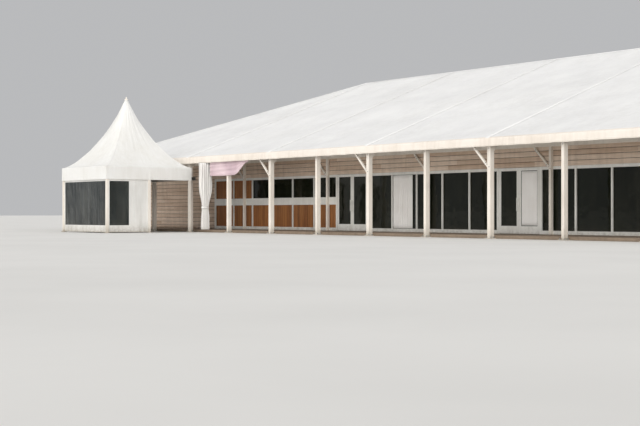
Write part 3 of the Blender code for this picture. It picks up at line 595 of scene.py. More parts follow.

# %% [markdown]
# Clear vinyl windows are never quite flat or clean. They are glossy, and wavy where they
# were rolled up. Their dark grey colour is painted shade, for the dim space seen through
# them. They let light through, so the shader transmits.

# %% Finishes: clear film and dark glass
clear_film, tree, shader = start_finish("clear_film", 0.12, Transmission_Weight=0.55, IOR=1.45)
cloth = add_group(tree, tent_cloth, Thread=0.02, Ripple=2.2, Ripple_scale=1.6)
# Dark grey: painted shade of the dim space seen through the film.
colour = mottle(cloth["Shade"], "343A3A", "565D5D", 0.3, 0.75)
weather(shader, colour, cloth["Height"], "9B978A", 0.25, 0.5, 0.4, 0.10)

# The glass's near-black colour is painted shade of the dim hall behind it, and its green tint is a
# painted reflection of trees.
dark_glass, tree, shader = start_finish(
    "dark_glass", 0.06, Transmission_Weight=0.25, IOR=1.5, Specular_IOR_Level=0.1
)
place = coordinates(tree)["Object"]
colour = mottle(noise(stretch(place, 0.6, 0.6, 0.2), 1.0), "11150A", "191E14", 0.35, 0.65)
weather(shader, colour, times(noise(place, 1.3, 2.0), 0.01), "6A6656", 0.12, 0.35, 0.5, 0.05)
print("film and glass ready")

# %% [markdown]
# Powder-coated aluminium is a creamy white with a satin gloss. Bare aluminium shows on the
# drape's rail and the gutter. Bolts, ground pins and eyelets are galvanised, which is a
# duller grey with crystals in it.

# %% Finishes: metals
def painted_finish(name, clean, shaded, wear, scuffs):
    finish, tree, shader = start_finish(name, 0.38)
    metal = add_group(tree, handled_metal, Scuffs=scuffs)
    colour = blend(metal["Scuff"], mottle(metal["Shade"], clean, shaded), rgb(wear))
    weather(shader, colour, metal["Height"], "7F7664", 0.22, 0.6, 0.45, 0.36)
    return finish


def bare_finish(name, light, dark, roughness, lines):
    finish, tree, shader = start_finish(name, roughness, 1.0)
    metal = add_group(tree, handled_metal, Scuffs=0.5, Peel=0.4)
    brushed = noise(stretch(coordinates(tree)["Object"], *lines), 8.0, 4.0, 0.7)
    colour = blend(metal["Scuff"], mottle(brushed, light, dark), rgb("6E6F70"))
    link(colour, shader.inputs["Base Color"])
    worn = ramp(brushed, 0.2, 0.8, roughness - 0.08, roughness + 0.12)
    link(worn, shader.inputs["Roughness"])
    add_relief(shader, plus(metal["Height"], times(brushed, 0.0002)))
    return finish


frame_paint = painted_finish("frame_paint", "F8F2E9", "F1E9DE", "B9B4AB", 0.22)
door_paint = painted_finish("door_paint", "F4F4F0", "ECECE7", "A3A29C", 0.28)
seal_rubber = painted_finish("seal_rubber", "2B2B2A", "232322", "4A4946", 0.3)
mill_aluminium = bare_finish("mill_aluminium", "D3D5D6", "A9ACAE", 0.34, (0.4, 6.0, 6.0))
galvanised = bare_finish("galvanised", "B4B7B8", "86898B", 0.48, (5.0, 5.0, 5.0))
print("metal finishes ready")

# %% [markdown]
# Timber comes in three kinds here: pale weathered cladding, orange-brown boards in the
# wall at the left, and a grey-brown floor. The loose boards carry an attribute with their
# own shade, and their grain runs the way that each kind is laid.

# %% Finishes: timber
LENGTHWISE, UPRIGHT = (0.35, 7.0, 7.0), (7.0, 7.0, 0.35)


def timber_finish(name, light, dark, grain=LENGTHWISE):
    finish, tree, shader = start_finish(name, 0.68)
    board = add_node(tree, "ShaderNodeAttribute", {"attribute_name": "board"}).outputs["Fac"]
    wood = add_group(
        tree, wood_grain, Vector=stretch(coordinates(tree)["Object"], *grain), Light=rgb(light),
        Dark=rgb(dark), Board=board, Contrast=0.55,
    )
    weather(shader, wood["Color"], wood["Height"], "4D4237", 0.25, 0.3, 0.4, 0.68)
    return finish


cladding_timber = timber_finish("cladding_timber", "F6E5D4", "C5A88F")
dado_timber = timber_finish("dado_timber", "B77A45", "744620", UPRIGHT)
edge_timber = timber_finish("edge_timber", "A08E7B", "6B5C4D")
# The backing's dark timber is painted shade, for the shadow lines between the cladding boards.
backing_shade_timber = timber_finish("backing_shade_timber", "6A5646", "43352A")
print("timber for loose boards is ready")

# %% [markdown]
# The floor is one solid in the model, so its boards are drawn by the material. They could
# be modelled one by one, but they are over a thousand and only their tops show. The place
# across is cut into strips, and each strip into lengths that start at random. Each length
# then gets a random number for its shade, and the gaps are dark and sunk.

# %% Finish: floor boards
DECK_BOARD_WIDTH, DECK_BOARD_LENGTH = 0.145, 2.4


def random_value(dimensions, **inputs):
    return add_node(
        deck_timber.node_tree, "ShaderNodeTexWhiteNoise", {"noise_dimensions": dimensions}, **inputs
    ).outputs["Value"]


def edge_gap(value, width):
    """1 in a narrow gap at each whole number of a value, and 0 elsewhere."""
    inside = maths("ABSOLUTE", minus(maths("FRACT", value), 0.5))
    return ramp(inside, 0.5 - width, 0.5 - width * 0.4)


deck_timber, tree, shader = start_finish("deck_timber", 0.7)
place = coordinates(tree)["Object"]
axes = axes_of(place)
strip = maths("DIVIDE", axes["Y"], DECK_BOARD_WIDTH)
strip_index = maths("FLOOR", strip)
offset = times(random_value("1D", W=strip_index), 5.0)
length = plus(maths("DIVIDE", axes["X"], DECK_BOARD_LENGTH), offset)
pair = add_node(
    tree, "ShaderNodeCombineXYZ", None, X=strip_index, Y=maths("FLOOR", length)
).outputs[0]
wood = add_group(
    tree, wood_grain, Vector=stretch(place, *LENGTHWISE), Light=rgb("A3907B"),
    Dark=rgb("63554A"), Board=random_value("3D", Vector=pair), Contrast=0.5,
)
gap_line = maths("MAXIMUM", edge_gap(strip, 0.03), edge_gap(length, 0.0015))
colour = blend(gap_line, wood["Color"], rgb("2A241F"))
height = minus(wood["Height"], times(gap_line, 0.006))
weather(shader, colour, height, "5B5348", 0.3, 0.25, 0.2, 0.7)
print("floor boards of", DECK_BOARD_WIDTH, "by", DECK_BOARD_LENGTH, "m")

# %% [markdown]
# The camera stands low and well to the right of the tent, as in the photograph: 0.8 m above
# the ground and some 50 m away, with a long lens. The floor is plain and pale. A soft sun
# stands for the studio's key light, and a softer one comes from the camera's side. A third,
# low one reaches the wall under the eave, which would be too dark without it, and the
# world gives an even fill.

# %% Camera, floor and light
camera_data = bpy.data.cameras.new("camera")
camera_data.lens = 71.4
camera_data.sensor_width = 36.0
camera_data.clip_end = 500.0
camera = bpy.data.objects.new("camera", camera_data)
camera.location = (37.57, -38.51, 0.81)
camera.rotation_euler = (math.radians(90.0), 0.0, math.radians(52.56))
bpy.context.scene.collection.objects.link(camera)
bpy.context.scene.camera = camera

deselect_all()
bpy.ops.mesh.primitive_plane_add(size=700, location=(0.0, 0.0, -0.003))
floor = settle(bpy.context.object, "studio_floor")
floor_finish, tree, shader = start_finish("studio_floor", 0.8)
colour = mottle(noise(coordinates(tree)["Object"], 0.3, 4.0), "E4E3E0", "EAE9E6")
link(colour, shader.inputs["Base Color"])
floor.data.materials.append(floor_finish)


def add_sun(name, direction, strength, softness, colour):
    lamp = bpy.data.lights.new(name, "SUN")
    lamp.energy = strength
    lamp.angle = math.radians(softness)
    lamp.color = colour
    sun = bpy.data.objects.new(name, lamp)
    sun.rotation_euler = Vector(direction).to_track_quat("Z", "Y").to_euler()
    bpy.context.scene.collection.objects.link(sun)


add_sun("key_light", (-0.10, -0.62, 0.78), 0.90, 14.0, (1.0, 0.97, 0.93))
add_sun("side_light", (0.9, -0.30, 0.32), 0.95, 40.0, (1.0, 0.98, 0.95))
add_sun("low_fill", (0.45, -0.88, 0.14), 1.35, 50.0, (1.0, 0.97, 0.93))
world = bpy.data.worlds.new("studio")
world.use_nodes = True
world.node_tree.nodes["Background"].inputs["Color"].default_value = (0.94, 0.95, 0.97, 1.0)
world.node_tree.nodes["Background"].inputs["Strength"].default_value = 0.52
bpy.context.scene.world = world
bpy.context.scene.view_settings.view_transform = "Standard"
bpy.context.scene.view_settings.look = "None"
print("camera at", tuple(camera.location))

# %% [markdown]
# The frame's own nodes keep their shape. Posts, rafters and beams get the creamy powder
# coat, the doors and the wall's frames a greyer one, and the floor its boards. Glass is
# nearly black-green, because the hall behind it is dark.

# %% Dress the frame's own nodes
FINISH_OF_SLOT = {
    "white_frame": frame_paint, "roof_skin": roof_cloth, "pagoda_skin": porch_cloth,
    "wall_fabric": wall_cloth, "timber_boards": dado_timber, "decking": deck_timber,
    "glazing": dark_glass, "door_frame": door_paint, "clear_film": clear_film,
    "bright_metal": mill_aluminium, "drape_cloth": drape_cloth,
}
for part in frame["record"]["subparts"]:
    materials = frame["nodes"][part["node"]].data.materials
    materials.clear()
    materials.append(FINISH_OF_SLOT[part["material_slot"]])
for side in ("left", "middle", "right"):
    frame["nodes"][f"front_wall_frame_{side}"].data.materials[0] = door_paint
frame["nodes"]["pagoda_finial"].data.materials[0] = frame_paint
print("dressed", len(frame["nodes"]), "nodes")

# %% [markdown]
# The roof: on such a tent each sheet of coated cloth is pulled up between two rafters, with
# a beaded edge in a groove of each, and tensioned over the eave. It bears on the rafters
# and purlins and hangs slightly between them. It could be draped by simulation, but a tight
# sheet is nearly a plane, so its small sag is worked out from the distance to what carries
# it. Small puckers also run along the beaded edges, where the tension is greatest.

# %% Roof sheets: the sag
BEAM_HALF = 0.08
PURLIN_INSET = 5.0
OVERHANG = 0.03
SHEET_LIFT = 0.0045


def between_supports(x, lines):
    """Distance to the nearest rafter's edge, and the free width between two rafters."""
    left = max(line for line in lines if line <= x + 1e-6)
    right = min(line for line in lines if line >= x - 1e-6)
    free = right - left - 2 * BEAM_HALF
    return max(min(x - left, right - x) - BEAM_HALF, 0.0), max(free, 0.001)


def sag(x, inset, top, lines, purlin):
    near, free = between_supports(x, lines)
    if near <= 0.0:
        return 0.0
    depth = 0.011 * free * 4 * (near / free) * (1 - near / free)
    along = ease(inset / 1.3) * ease((top - inset) / 1.3)
    if purlin:
        along *= ease((abs(inset - PURLIN_INSET) - 0.05) / 1.4)
    pucker = 0.006 * math.exp(-near / 0.35) * ease(near / 0.12)
    pucker *= math.sin(2 * math.pi * inset / 0.83 + 1.7 * math.sin(inset * 1.3 + x))
    pucker *= ease(inset / 0.4) * ease((top - inset) / 0.6)
    return max(depth * along - pucker * (1.0 if along > 0.3 else along / 0.3), 0.0)


print("sag in the middle of a bay:", round(sag(0.0, 2.5, HALF_WIDTH, (-3.0, 3.0), True), 4), "m")

# %% [markdown]
# Each sheet starts as a grid. Its points are laid on the front slope, up to the ridge or
# to the hip, where the rows narrow to a point and are merged. The sheet then gets its
# thickness and is turned about Z to its own side of the roof. Its flat width and length
# come from the frame.

# %% Roof sheets: one sheet
def lay_roof_sheet(side, number, span, eave_half, distance, degrees, lines, grid, purlin=False):
    """One sheet of a slope. It is laid on the front slope's pattern and turned about Z."""
    start, end = span
    sheet = add_grid(f"roof_sheet_{side}{number}", *grid)
    for vertex in sheet.data.vertices:
        x = start + (end - start) * vertex.co.x
        top = min(HALF_WIDTH, eave_half - abs(x)) - 0.006
        inset = -OVERHANG + vertex.co.y * (top + OVERHANG)
        z = roof_height(inset) + SHEET_LIFT - sag(x, inset, top, lines, purlin)
        vertex.co = (x, inset - distance, z)
    along = math.cos(ROOF_ANGLE)
    set_uv(sheet, [(v.co.x, (v.co.y + distance) / along) for v in sheet.data.vertices])
    edit(sheet)
    bpy.ops.mesh.select_all(action="SELECT")
    bpy.ops.mesh.remove_doubles(threshold=0.002)
    close_edit()
    thicken(sheet, 0.003)
    smooth(sheet, 50)
    sheet.data.transform(turned(degrees))
    keep(sheet, roof_cloth)
    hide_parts(f"roof_skin_{side}")
    return sheet


# %% [markdown]
# Each long slope has five sheets: one to each bay between two portals, and one over each
# hipped end. Each short slope has one. The lines are where rafters carry a sheet, so that
# it sags only between them.

# %% Roof sheets: lay them all
LONG_LINES = [-19.2, *sorted(PORTALS + HIP_POSTS), 19.2]
END_LINES = [-10.1, *END_POSTS, 10.1]
roof_sheets = []
for side, degrees in (("front", 0), ("back", 180)):
    stops = (-HALF_LENGTH - 0.03, *PORTALS, HALF_LENGTH + 0.03)
    for number, span in enumerate(zip(stops, stops[1:]), start=1):
        hipped = number in (1, 5)
        roof_sheets.append(lay_roof_sheet(
            side, f"_{number}", span, HALF_LENGTH, HALF_WIDTH, degrees, LONG_LINES,
            (72, 60) if hipped else (44, 76), purlin=not hipped,
        ))
for side, degrees in (("right", 90), ("left", 270)):
    roof_sheets.append(lay_roof_sheet(
        side, "", (-HALF_WIDTH - 0.03, HALF_WIDTH + 0.03), HALF_WIDTH, HALF_LENGTH, degrees,
        END_LINES, (120, 64),
    ))
print("roof sheets:", len(roof_sheets), "faces", sum(len(s.data.polygons) for s in roof_sheets))

# %% [markdown]
# Cover strips hide the seams. On each portal, on the hips and along the ridge a white
# profile is snapped over the beaded edges and keeps the rain out. It starts as a long
# block. It is split along its middle, its edges are let down to lie on both slopes, and a
# round bead runs along each side, where the cloth's beaded edge swells under it.

# %% Cover strips
BEAD_INNER, BEAD_OUTER = 0.26, 0.36


def add_cover(start, end, width, fall=0.0):
    """A folded strip from start to end, which lie on the roof under its middle line."""
    start, end = Vector(start), Vector(end)
    length = (end - start).length
    strip = add_block("cover", (0.0, -width / 2, 0.008), (length, width / 2, 0.014))
    edit(strip)
    for share in (0.0, -BEAD_OUTER, -BEAD_INNER, BEAD_INNER, BEAD_OUTER):
        cut((0, share * width, 0), (0, 1, 0))
    pick_faces(
        strip, lambda c, n: n.z > 0.9 and BEAD_INNER * width < abs(c.y) < BEAD_OUTER * width
    )
    bpy.ops.mesh.extrude_region_move(TRANSFORM_OT_translate={"value": (0, 0, 0.007)})
    close_edit()
    for vertex in strip.data.vertices:
        vertex.co.z -= abs(vertex.co.y) * fall
    soften(strip, 0.0025)
    along = (end - start).normalized()
    across = Vector((0, 0, 1)).cross(along).normalized()
    basis = Matrix((along, across, along.cross(across))).transposed().to_4x4()
    strip.data.transform(Matrix.Translation(start) @ basis)
    smooth(strip, 35)
    return strip


covers = []
ridge_z = roof_height(HALF_WIDTH) + SHEET_LIFT
eave_z = roof_height(-OVERHANG) + SHEET_LIFT
for x in PORTALS:
    for side in (-1, 1):
        top = (x, side * 0.09, roof_height(9.91) + SHEET_LIFT)
        covers.append(add_cover((x, side * (HALF_WIDTH + OVERHANG), eave_z), top, 0.15))
covers.append(add_cover((-HALF_RIDGE, 0, ridge_z), (HALF_RIDGE, 0, ridge_z), 0.22, SLOPE))
for x_side in (-1, 1):
    top = (x_side * (HALF_RIDGE - 0.02), 0, ridge_z)
    for y_side in (-1, 1):
        low = (x_side * (HALF_LENGTH + OVERHANG), y_side * (HALF_WIDTH + OVERHANG), eave_z)
        covers.append(add_cover(low, top, 0.20, SLOPE * 0.68))
roof_covers = keep(join(covers, "roof_covers"), roof_cloth)
print("cover strips:", len(roof_covers.data.polygons), "faces")

# %% [markdown]
# The eave band: the roof's cloth runs on over the eave beam and hangs down its face as a
# creamy band with a stitched hem. It hides the beam and throws the rain off. It comes in
# lengths of 4 to 6 m, fitted one after the other. Each one starts as a grid and follows a
# short curve over the edge, then a slightly wavy drop. At the tent's corners bisect cuts a
# mitre, so that two bands meet along one upright edge.

# %% Eave band: one length
BAND_PROUD = 0.053
BAND_CURVE = (
    (-9.93, 3.2085), (-9.99, 3.187), (-10.03, 3.169), (-10.048, 3.150), (-10.052, 3.11),
    (-10.053, 3.06), (-10.053, 3.01), (-10.053, 2.96), (-10.053, 2.91),
)
LONG_STOPS = (-19.123, -15.07, *PORTALS, 15.07, 19.123)
END_STOPS = (-10.053, -6.0, 0.0, 6.0, 10.053)
band_lengths = [0.0]
for (y0, z0), (y1, z1) in zip(BAND_CURVE, BAND_CURVE[1:]):
    band_lengths.append(band_lengths[-1] + math.hypot(y1 - y0, z1 - z0))


def add_eave_band(name, start, end, distance, degrees, posts):
    """A band over the eave, drawn on the front and turned; it hangs tighter at the posts."""
    last_row = len(BAND_CURVE) - 1
    band = add_grid(name, max(12, round((end - start) / 0.11)), last_row)
    places = []
    for vertex in band.data.vertices:
        x = start + (end - start) * vertex.co.x
        row = round((1.0 - vertex.co.y) * last_row)
        y, z = BAND_CURVE[row]
        slack = ease((row - 3) / 5)
        away = ease(min(abs(x - post) for post in (*posts, start, end)) / 0.5)
        swing = 0.009 * math.sin(x * 9.1) + 0.006 * math.sin(x * 15.3 + 1.1)
        y -= slack * away * (swing + 0.004)
        z -= 0.004 * slack * math.sin(x * 7.7 + 0.4) * away
        vertex.co = (x, y + HALF_WIDTH - distance, z)
        places.append((x, band_lengths[-1] - band_lengths[row]))
    set_uv(band, places)
    for corner, way in ((start, -1), (end, 1)):
        if abs(corner) in (LONG_STOPS[-1], END_STOPS[-1]):
            edit(band)
            cut((corner - way * BAND_PROUD, -distance, 0), (way, 1, 0), clear_outer=True)
            close_edit()
    thicken(band, 0.003)
    smooth(band, 60)
    band.data.transform(turned(degrees))
    keep(band, eave_cloth)


print("the band is cut", round(band_lengths[-1], 3), "m deep")

# %% [markdown]
# The bands go round the whole eave. A band is drawn for the front and turned to its side.
# At each post it is tied back, so it swings less there than between them.

# %% Eave bands: hang them
band_total = 0.0
for side, degrees, stops, distance, posts in (
    ("front", 0, LONG_STOPS, HALF_WIDTH, HALF_BAY_POSTS),
    ("back", 180, LONG_STOPS, HALF_WIDTH, HALF_BAY_POSTS),
    ("right", 90, END_STOPS, HALF_LENGTH, (-3.0, 3.0)),
    ("left", 270, END_STOPS, HALF_LENGTH, (-3.0, 3.0)),
):
    for number, (start, end) in enumerate(zip(stops, stops[1:]), start=1):
        name = f"eave_band_{side}_{number}"
        add_eave_band(name, start, end, distance, degrees, posts)
        band_total += end - start
print("eave bands, metres in all:", round(band_total, 2))

# %% [markdown]
# The pagoda's roof is one continuous sheet that is pulled up a short mast. A stretched sheet
# takes a saddle form: it is hollow from the eave to the tip, and between the four hips it
# draws inwards. It starts as a grid whose width goes once round the mast and whose height
# runs from the tip to the hem. Fine pleats gather at the tip, where the cloth is laced.

# %% Porch roof: its form
PAGODA_EAVE = 2.72
PAGODA_PEAK = 5.62
PAGODA_HEM = 2.18
TIP_RADIUS = 0.060
ROOF_SHARE = 0.86


def porch_point(turn, way):
    """A point of the porch roof: turn runs round the mast, way from the tip to the hem."""
    angle = 2 * math.pi * turn
    half = PAGODA_HALF + 0.006
    square = half / max(abs(math.cos(angle)), abs(math.sin(angle)))
    middle_of_side = (1 + math.cos(4 * angle)) / 2
    tip_share = TIP_RADIUS / PAGODA_HALF
    if way < ROOF_SHARE:
        share = tip_share + (1.0 - tip_share) * (way / ROOF_SHARE) ** 1.25
        rounding = (1.0 - share) ** 2
        reach = share * (square * (1 - rounding) + half * rounding)
        reach *= 1 - 0.030 * middle_of_side * math.sin(math.pi * share)
        pleat = 0.010 * math.cos(20 * angle) * math.exp(-share / 0.16)
        pleat *= ease((share - tip_share) / 0.05)
        crease = 0.006 * math.cos(math.pi * share * 9 + 3 * angle) * (1 - middle_of_side)
        reach = max(reach + pleat, TIP_RADIUS * 0.98)
        rise = ((1.0 - share) / (1.0 - tip_share)) ** 1.55 * (PAGODA_PEAK - PAGODA_EAVE)
        height = PAGODA_EAVE + 0.004 + rise + crease * ease((0.95 - share) / 0.2)
    else:
        drop = (way - ROOF_SHARE) / (1 - ROOF_SHARE)
        wave = 0.010 * math.sin(44 * angle) + 0.005 * math.sin(72 * angle + 1)
        reach = square + 0.006 * ease(drop / 0.1) + wave * ease(drop) * 0.7 * middle_of_side
        height = PAGODA_EAVE + 0.003 - drop * (PAGODA_EAVE - PAGODA_HEM)
    return (
        PAGODA_MIDDLE[0] + reach * math.cos(angle),
        PAGODA_MIDDLE[1] + reach * math.sin(angle),
        height,
    )


print("half way down a side:", [round(v, 2) for v in porch_point(0.0, 0.5)])

# %% [markdown]
# The grid's points are moved onto that form, and its two open sides are merged where they
# meet. A grid that is moved this far may be inside out, so its faces are made to look
# outwards before the sheet gets its thickness. The sheet's flat width and length are an
# estimate.

# %% Porch roof: one sheet
def face_outwards(piece, weld=0.0):
    """Make a piece's faces look outwards, after welding its points where asked."""
    edit(piece)
    bpy.ops.mesh.select_all(action="SELECT")
    if weld:
        bpy.ops.mesh.remove_doubles(threshold=weld)
    bpy.ops.mesh.normals_make_consistent(inside=False)
    close_edit()


porch_roof = add_grid("porch_roof", 160, 72)
places = [(v.co.x, 1.0 - v.co.y) for v in porch_roof.data.vertices]
for vertex, (turn, way) in zip(porch_roof.data.vertices, places):
    vertex.co = porch_point(turn, way)
set_uv(porch_roof, [(turn * 16.0, (1.0 - way) * 4.0) for turn, way in places])
face_outwards(porch_roof, weld=0.0005)
thicken(porch_roof, 0.003)
smooth(porch_roof, 55)
keep(porch_roof, porch_cloth)
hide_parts("pagoda_skin")

# %% [markdown]
# The porch roof's seams are welded bands down its four hips and the middle of each side, and
# a doubled band goes round at the eave, where the sheet bends down. Each band is a strip of
# grid that follows the same surface a little further out, so that it reads as a second
# layer of cloth.

# %% Porch roof: seams
def add_porch_strip(name, turns, ways, columns, rows, lift):
    strip = add_grid(name, columns, rows)
    for vertex in strip.data.vertices:
        turn = turns[0] + (turns[1] - turns[0]) * vertex.co.x
        way = ways[0] + (ways[1] - ways[0]) * (1 - vertex.co.y)
        x, y, z = porch_point(turn, way)
        across = math.hypot(x - PAGODA_MIDDLE[0], y - PAGODA_MIDDLE[1])
        out = (across + lift) / across
        vertex.co = (
            PAGODA_MIDDLE[0] + (x - PAGODA_MIDDLE[0]) * out,
            PAGODA_MIDDLE[1] + (y - PAGODA_MIDDLE[1]) * out,
            z + lift * 0.6,
        )
    return strip


SEAM_HALF_TURN = 0.0030
strips = []
for n in range(8):
    turns = (n / 8 - SEAM_HALF_TURN, n / 8 + SEAM_HALF_TURN)
    strips.append(add_porch_strip("seam", turns, (0.10, 1.0), 2, 90, 0.003))
strips.append(add_porch_strip("eave_ring", (0.0, 1.0), (0.835, 0.875), 160, 4, 0.004))
strips.append(add_porch_strip("hem_ring", (0.0, 1.0), (0.985, 1.0), 160, 2, 0.004))
porch_seams = join(strips, "porch_seams")
face_outwards(porch_seams)
thicken(porch_seams, 0.003)
smooth(porch_seams, 50)
keep(porch_seams, porch_cloth)
print("seams", len(porch_seams.data.polygons), "faces")

# %% [markdown]
# Upright cloth: the porch curtains and the hall's walls are made alike. A plane is
# subdivided so that it can hang in folds, cut along the edges of its windows with bisect,
# and the window faces are deleted. Its UV map is in metres, measured from the foot,
# and the hem's stitches follow it.

# %% Helpers for upright sheets
def cut_upright(name, width, height, cuts, hole=None):
    """A sheet that faces -Y, from 0 to its width and height, with a window if asked."""
    deselect_all()
    bpy.ops.mesh.primitive_plane_add(
        size=1, location=(width / 2, 0, height / 2), rotation=(math.pi / 2, 0, 0)
    )
    bpy.context.object.scale = (width, height, 1)
    sheet = settle(bpy.context.object, name)
    edit(sheet)
    bpy.ops.mesh.select_all(action="SELECT")
    bpy.ops.mesh.subdivide(number_cuts=cuts)
    if hole:
        x0, z0, x1, z1 = hole
        for x in (x0, x1):
            cut((x, 0, 0), (1, 0, 0))
        for z in (z0, z1):
            cut((0, 0, z), (0, 0, 1))
        pick_faces(sheet, lambda c, n: x0 < c.x < x1 and z0 < c.z < z1)
        bpy.ops.mesh.delete(type="FACE")
    close_edit()
    set_uv(sheet, [(v.co.x, v.co.z) for v in sheet.data.vertices])
    return sheet


def hang(sheet, amount, pitch, height, still=None):
    """Push the sheet in and out in soft folds that open towards the foot."""
    for vertex in sheet.data.vertices:
        x, z = vertex.co.x, vertex.co.z
        free = 0.25 + 0.75 * ease((height - z) / height)
        if still:
            x0, z0, x1, z1 = still
            apart = max(x0 - x, x - x1, z0 - z, z - z1, 0.0)
            free *= 0.25 + 0.75 * ease(apart / 0.35)
        fold = math.sin(2 * math.pi * x / pitch + 0.8 * math.sin(z * 1.7))
        fold += 0.45 * math.sin(2 * math.pi * x / (pitch * 0.43) + z * 1.1)
        vertex.co.y += amount * free * fold / 1.45


print("upright sheets can be cut and hung")

# %% [markdown]
# The porch has see-through curtains between slim posts. The front and the left are a full
# sheet of clear film with a white border welded on its face. The right side is a white
# panel with a short window in it, as in the photograph. Border and film get the same folds.

# %% Porch curtain: cloth and film
CURTAIN_FOOT = 0.03
CURTAIN_HEIGHT = 2.165
CURTAIN_WIDTH = 2 * (PAGODA_HALF - 0.10) - 0.006
SIDE_CURTAIN_WIDTH = PAGODA_HALF - 0.156
CURTAIN_BACK = 0.05


def add_porch_curtain(side, node, width, window, matrix):
    """A white sheet with its window cut out, and the film that closes it."""
    window_left, window_right = window
    hole = (window_left, 0.28, window_right, CURTAIN_HEIGHT - 0.08)
    name = f"porch_curtain_{side}"
    white = cut_upright(name, width, CURTAIN_HEIGHT, 63, hole)
    film = cut_upright(f"{name}_film", width, CURTAIN_HEIGHT, 63)
    parts = ((white, 0.002, 0.0, wall_cloth, "wall_fabric"),
             (film, 0.0012, 0.0018, clear_film, "clear_film"))
    for sheet, thickness, back_by, finish, slot in parts:
        hang(sheet, 0.006, 0.5, CURTAIN_HEIGHT)
        thicken(sheet, thickness)
        smooth(sheet, 60)
        sheet.data.transform(matrix @ shift(0, back_by))
        keep(sheet, finish)
        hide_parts(node)


print("a porch curtain is", round(CURTAIN_WIDTH, 3), "by", CURTAIN_HEIGHT, "m")

# %% [markdown]
# Each curtain is drawn facing -Y from its own left foot, then turned to its side of the
# porch. The fourth side is open to the veranda, and half of the right side is open too.

# %% Porch curtains: hang them
middle_x, middle_y = PAGODA_MIDDLE
big_window = (0.07, CURTAIN_WIDTH - 0.07)
add_porch_curtain(
    "front", "pagoda_wall_front", CURTAIN_WIDTH, big_window,
    shift(middle_x - CURTAIN_WIDTH / 2, middle_y - PAGODA_HALF + CURTAIN_BACK, CURTAIN_FOOT),
)
add_porch_curtain(
    "left", "pagoda_wall_left", CURTAIN_WIDTH, big_window,
    shift(middle_x - PAGODA_HALF + CURTAIN_BACK, middle_y + CURTAIN_WIDTH / 2, CURTAIN_FOOT)
    @ turned(-90),
)
add_porch_curtain(
    "right", "pagoda_wall_side", SIDE_CURTAIN_WIDTH, (0.06, 0.95),
    shift(middle_x + PAGODA_HALF - CURTAIN_BACK, middle_y - CURTAIN_WIDTH / 2, CURTAIN_FOOT)
    @ turned(90),
)
print("porch curtains hung")

# %% [markdown]
# Boards: no two on a real wall have the same shade. A number is stored on each board's
# points, and the timber finish reads it. The wall's boards run on to the hipped roof, which
# cuts off their ends along its slope, and bisect does that for all boards at once.

# %% Helpers for boards
def shade_board(board, value):
    """Store one number on all of a board's points; the timber finish reads it."""
    layer = board.data.attributes.new("board", "FLOAT", "POINT")
    layer.data.foreach_set("value", [value] * len(board.data.vertices))
    return board


def chance(*numbers):
    """A repeatable random number from 0 to 1."""
    mixed = sum(number * weight for number, weight in zip(numbers, (12.9898, 78.233, 37.719)))
    return (math.sin(mixed) * 43758.5453) % 1.0


def cut_to_slope(piece, under):
    """Cut both ends of a long wall piece to the line of the hipped roof."""
    edit(piece)
    for side in (-1, 1):
        cut(
            (side * HALF_LENGTH, 0, EAVE_TOP - under), (side * SLOPE, 0, 1),
            clear_outer=True, use_fill=True,
        )
    close_edit()


print("shades of three boards:", [round(chance(row, 0), 2) for row in range(3)])

# %% [markdown]
# Cladding: the wall over the doors is boarded lengthwise. One board is planed and its
# edges are rounded. It is then copied along each row, stretched to the row's lengths, with
# the joints staggered. At the left end, behind the porch, the rows go on down to
# the floor, as far as the first glazed stretch.

# %% Cladding over the doors
BOARD_PITCH, BOARD_GAP = 0.175, 0.015
BOARDING_TOP = roof_height(3.0) - 0.2406
BOARDING_END = 18.985
BOARDED_END = -11.535
BOARDED_FOOT = 0.105
BOARDING_UNDER_ROOF = 0.33

plank = add_block(
    "plank", (0.0, -WALL_FACE, 0.0), (1.0, -WALL_FACE + 0.020, BOARD_PITCH - BOARD_GAP)
)
soften(plank, 0.0035)
smooth(plank, 40)
planks = []
row_count = math.ceil((BOARDING_TOP - DOOR_HEAD) / BOARD_PITCH)
low_rows = math.ceil((DOOR_HEAD - BOARDED_FOOT) / BOARD_PITCH)
for row in range(-low_rows, row_count):
    x, row_end = -BOARDING_END, BOARDED_END if row < 0 else BOARDING_END
    z = DOOR_HEAD + 0.003 + row * BOARD_PITCH
    length = 1.2 + 3.0 * chance(row, 3)
    piece_number = 0
    while x < row_end - 0.05:
        end = min(x + length, row_end)
        lip = 0.0015 * chance(row, piece_number, 5)
        place = shift(x, lip, z) @ Matrix.Diagonal((end - x - 0.004, 1, 1, 1))
        planks.append(shade_board(copy_to(plank, "plank", place), chance(row, piece_number)))
        x, length, piece_number = end, 4.2, piece_number + 1
delete(plank)
cladding = join(planks, "cladding_boards")
edit(cladding)
for height, way in ((BOARDING_TOP, 1), (BOARDED_FOOT, -1)):
    cut((0, 0, height), (0, 0, way), clear_outer=True, use_fill=True)
close_edit()
cut_to_slope(cladding, BOARDING_UNDER_ROOF)
keep(cladding, cladding_timber)
print("rows:", low_rows, "+", row_count, "boards:", len(planks))

# %% [markdown]
# Behind the boards a backing shows in the gaps between them, and its dark colour is painted
# shade: the shadow lines between the boards. It is two blocks: one for the band over the
# doors, and one for the rows that go down to the floor.

# %% Backing of the cladding
back_blocks = []
for foot, end, top in (
    (DOOR_HEAD + 0.002, BOARDING_END, BOARDING_TOP), (BOARDED_FOOT, BOARDED_END, DOOR_HEAD)
):
    back_blocks.append(add_block(
        "backing", (-BOARDING_END, -WALL_FACE + 0.024, foot), (end, -WALL_FACE + 0.048, top)
    ))
backing = join(back_blocks, "cladding_backing")
cut_to_slope(backing, BOARDING_UNDER_ROOF)
soften(backing, 0.002)
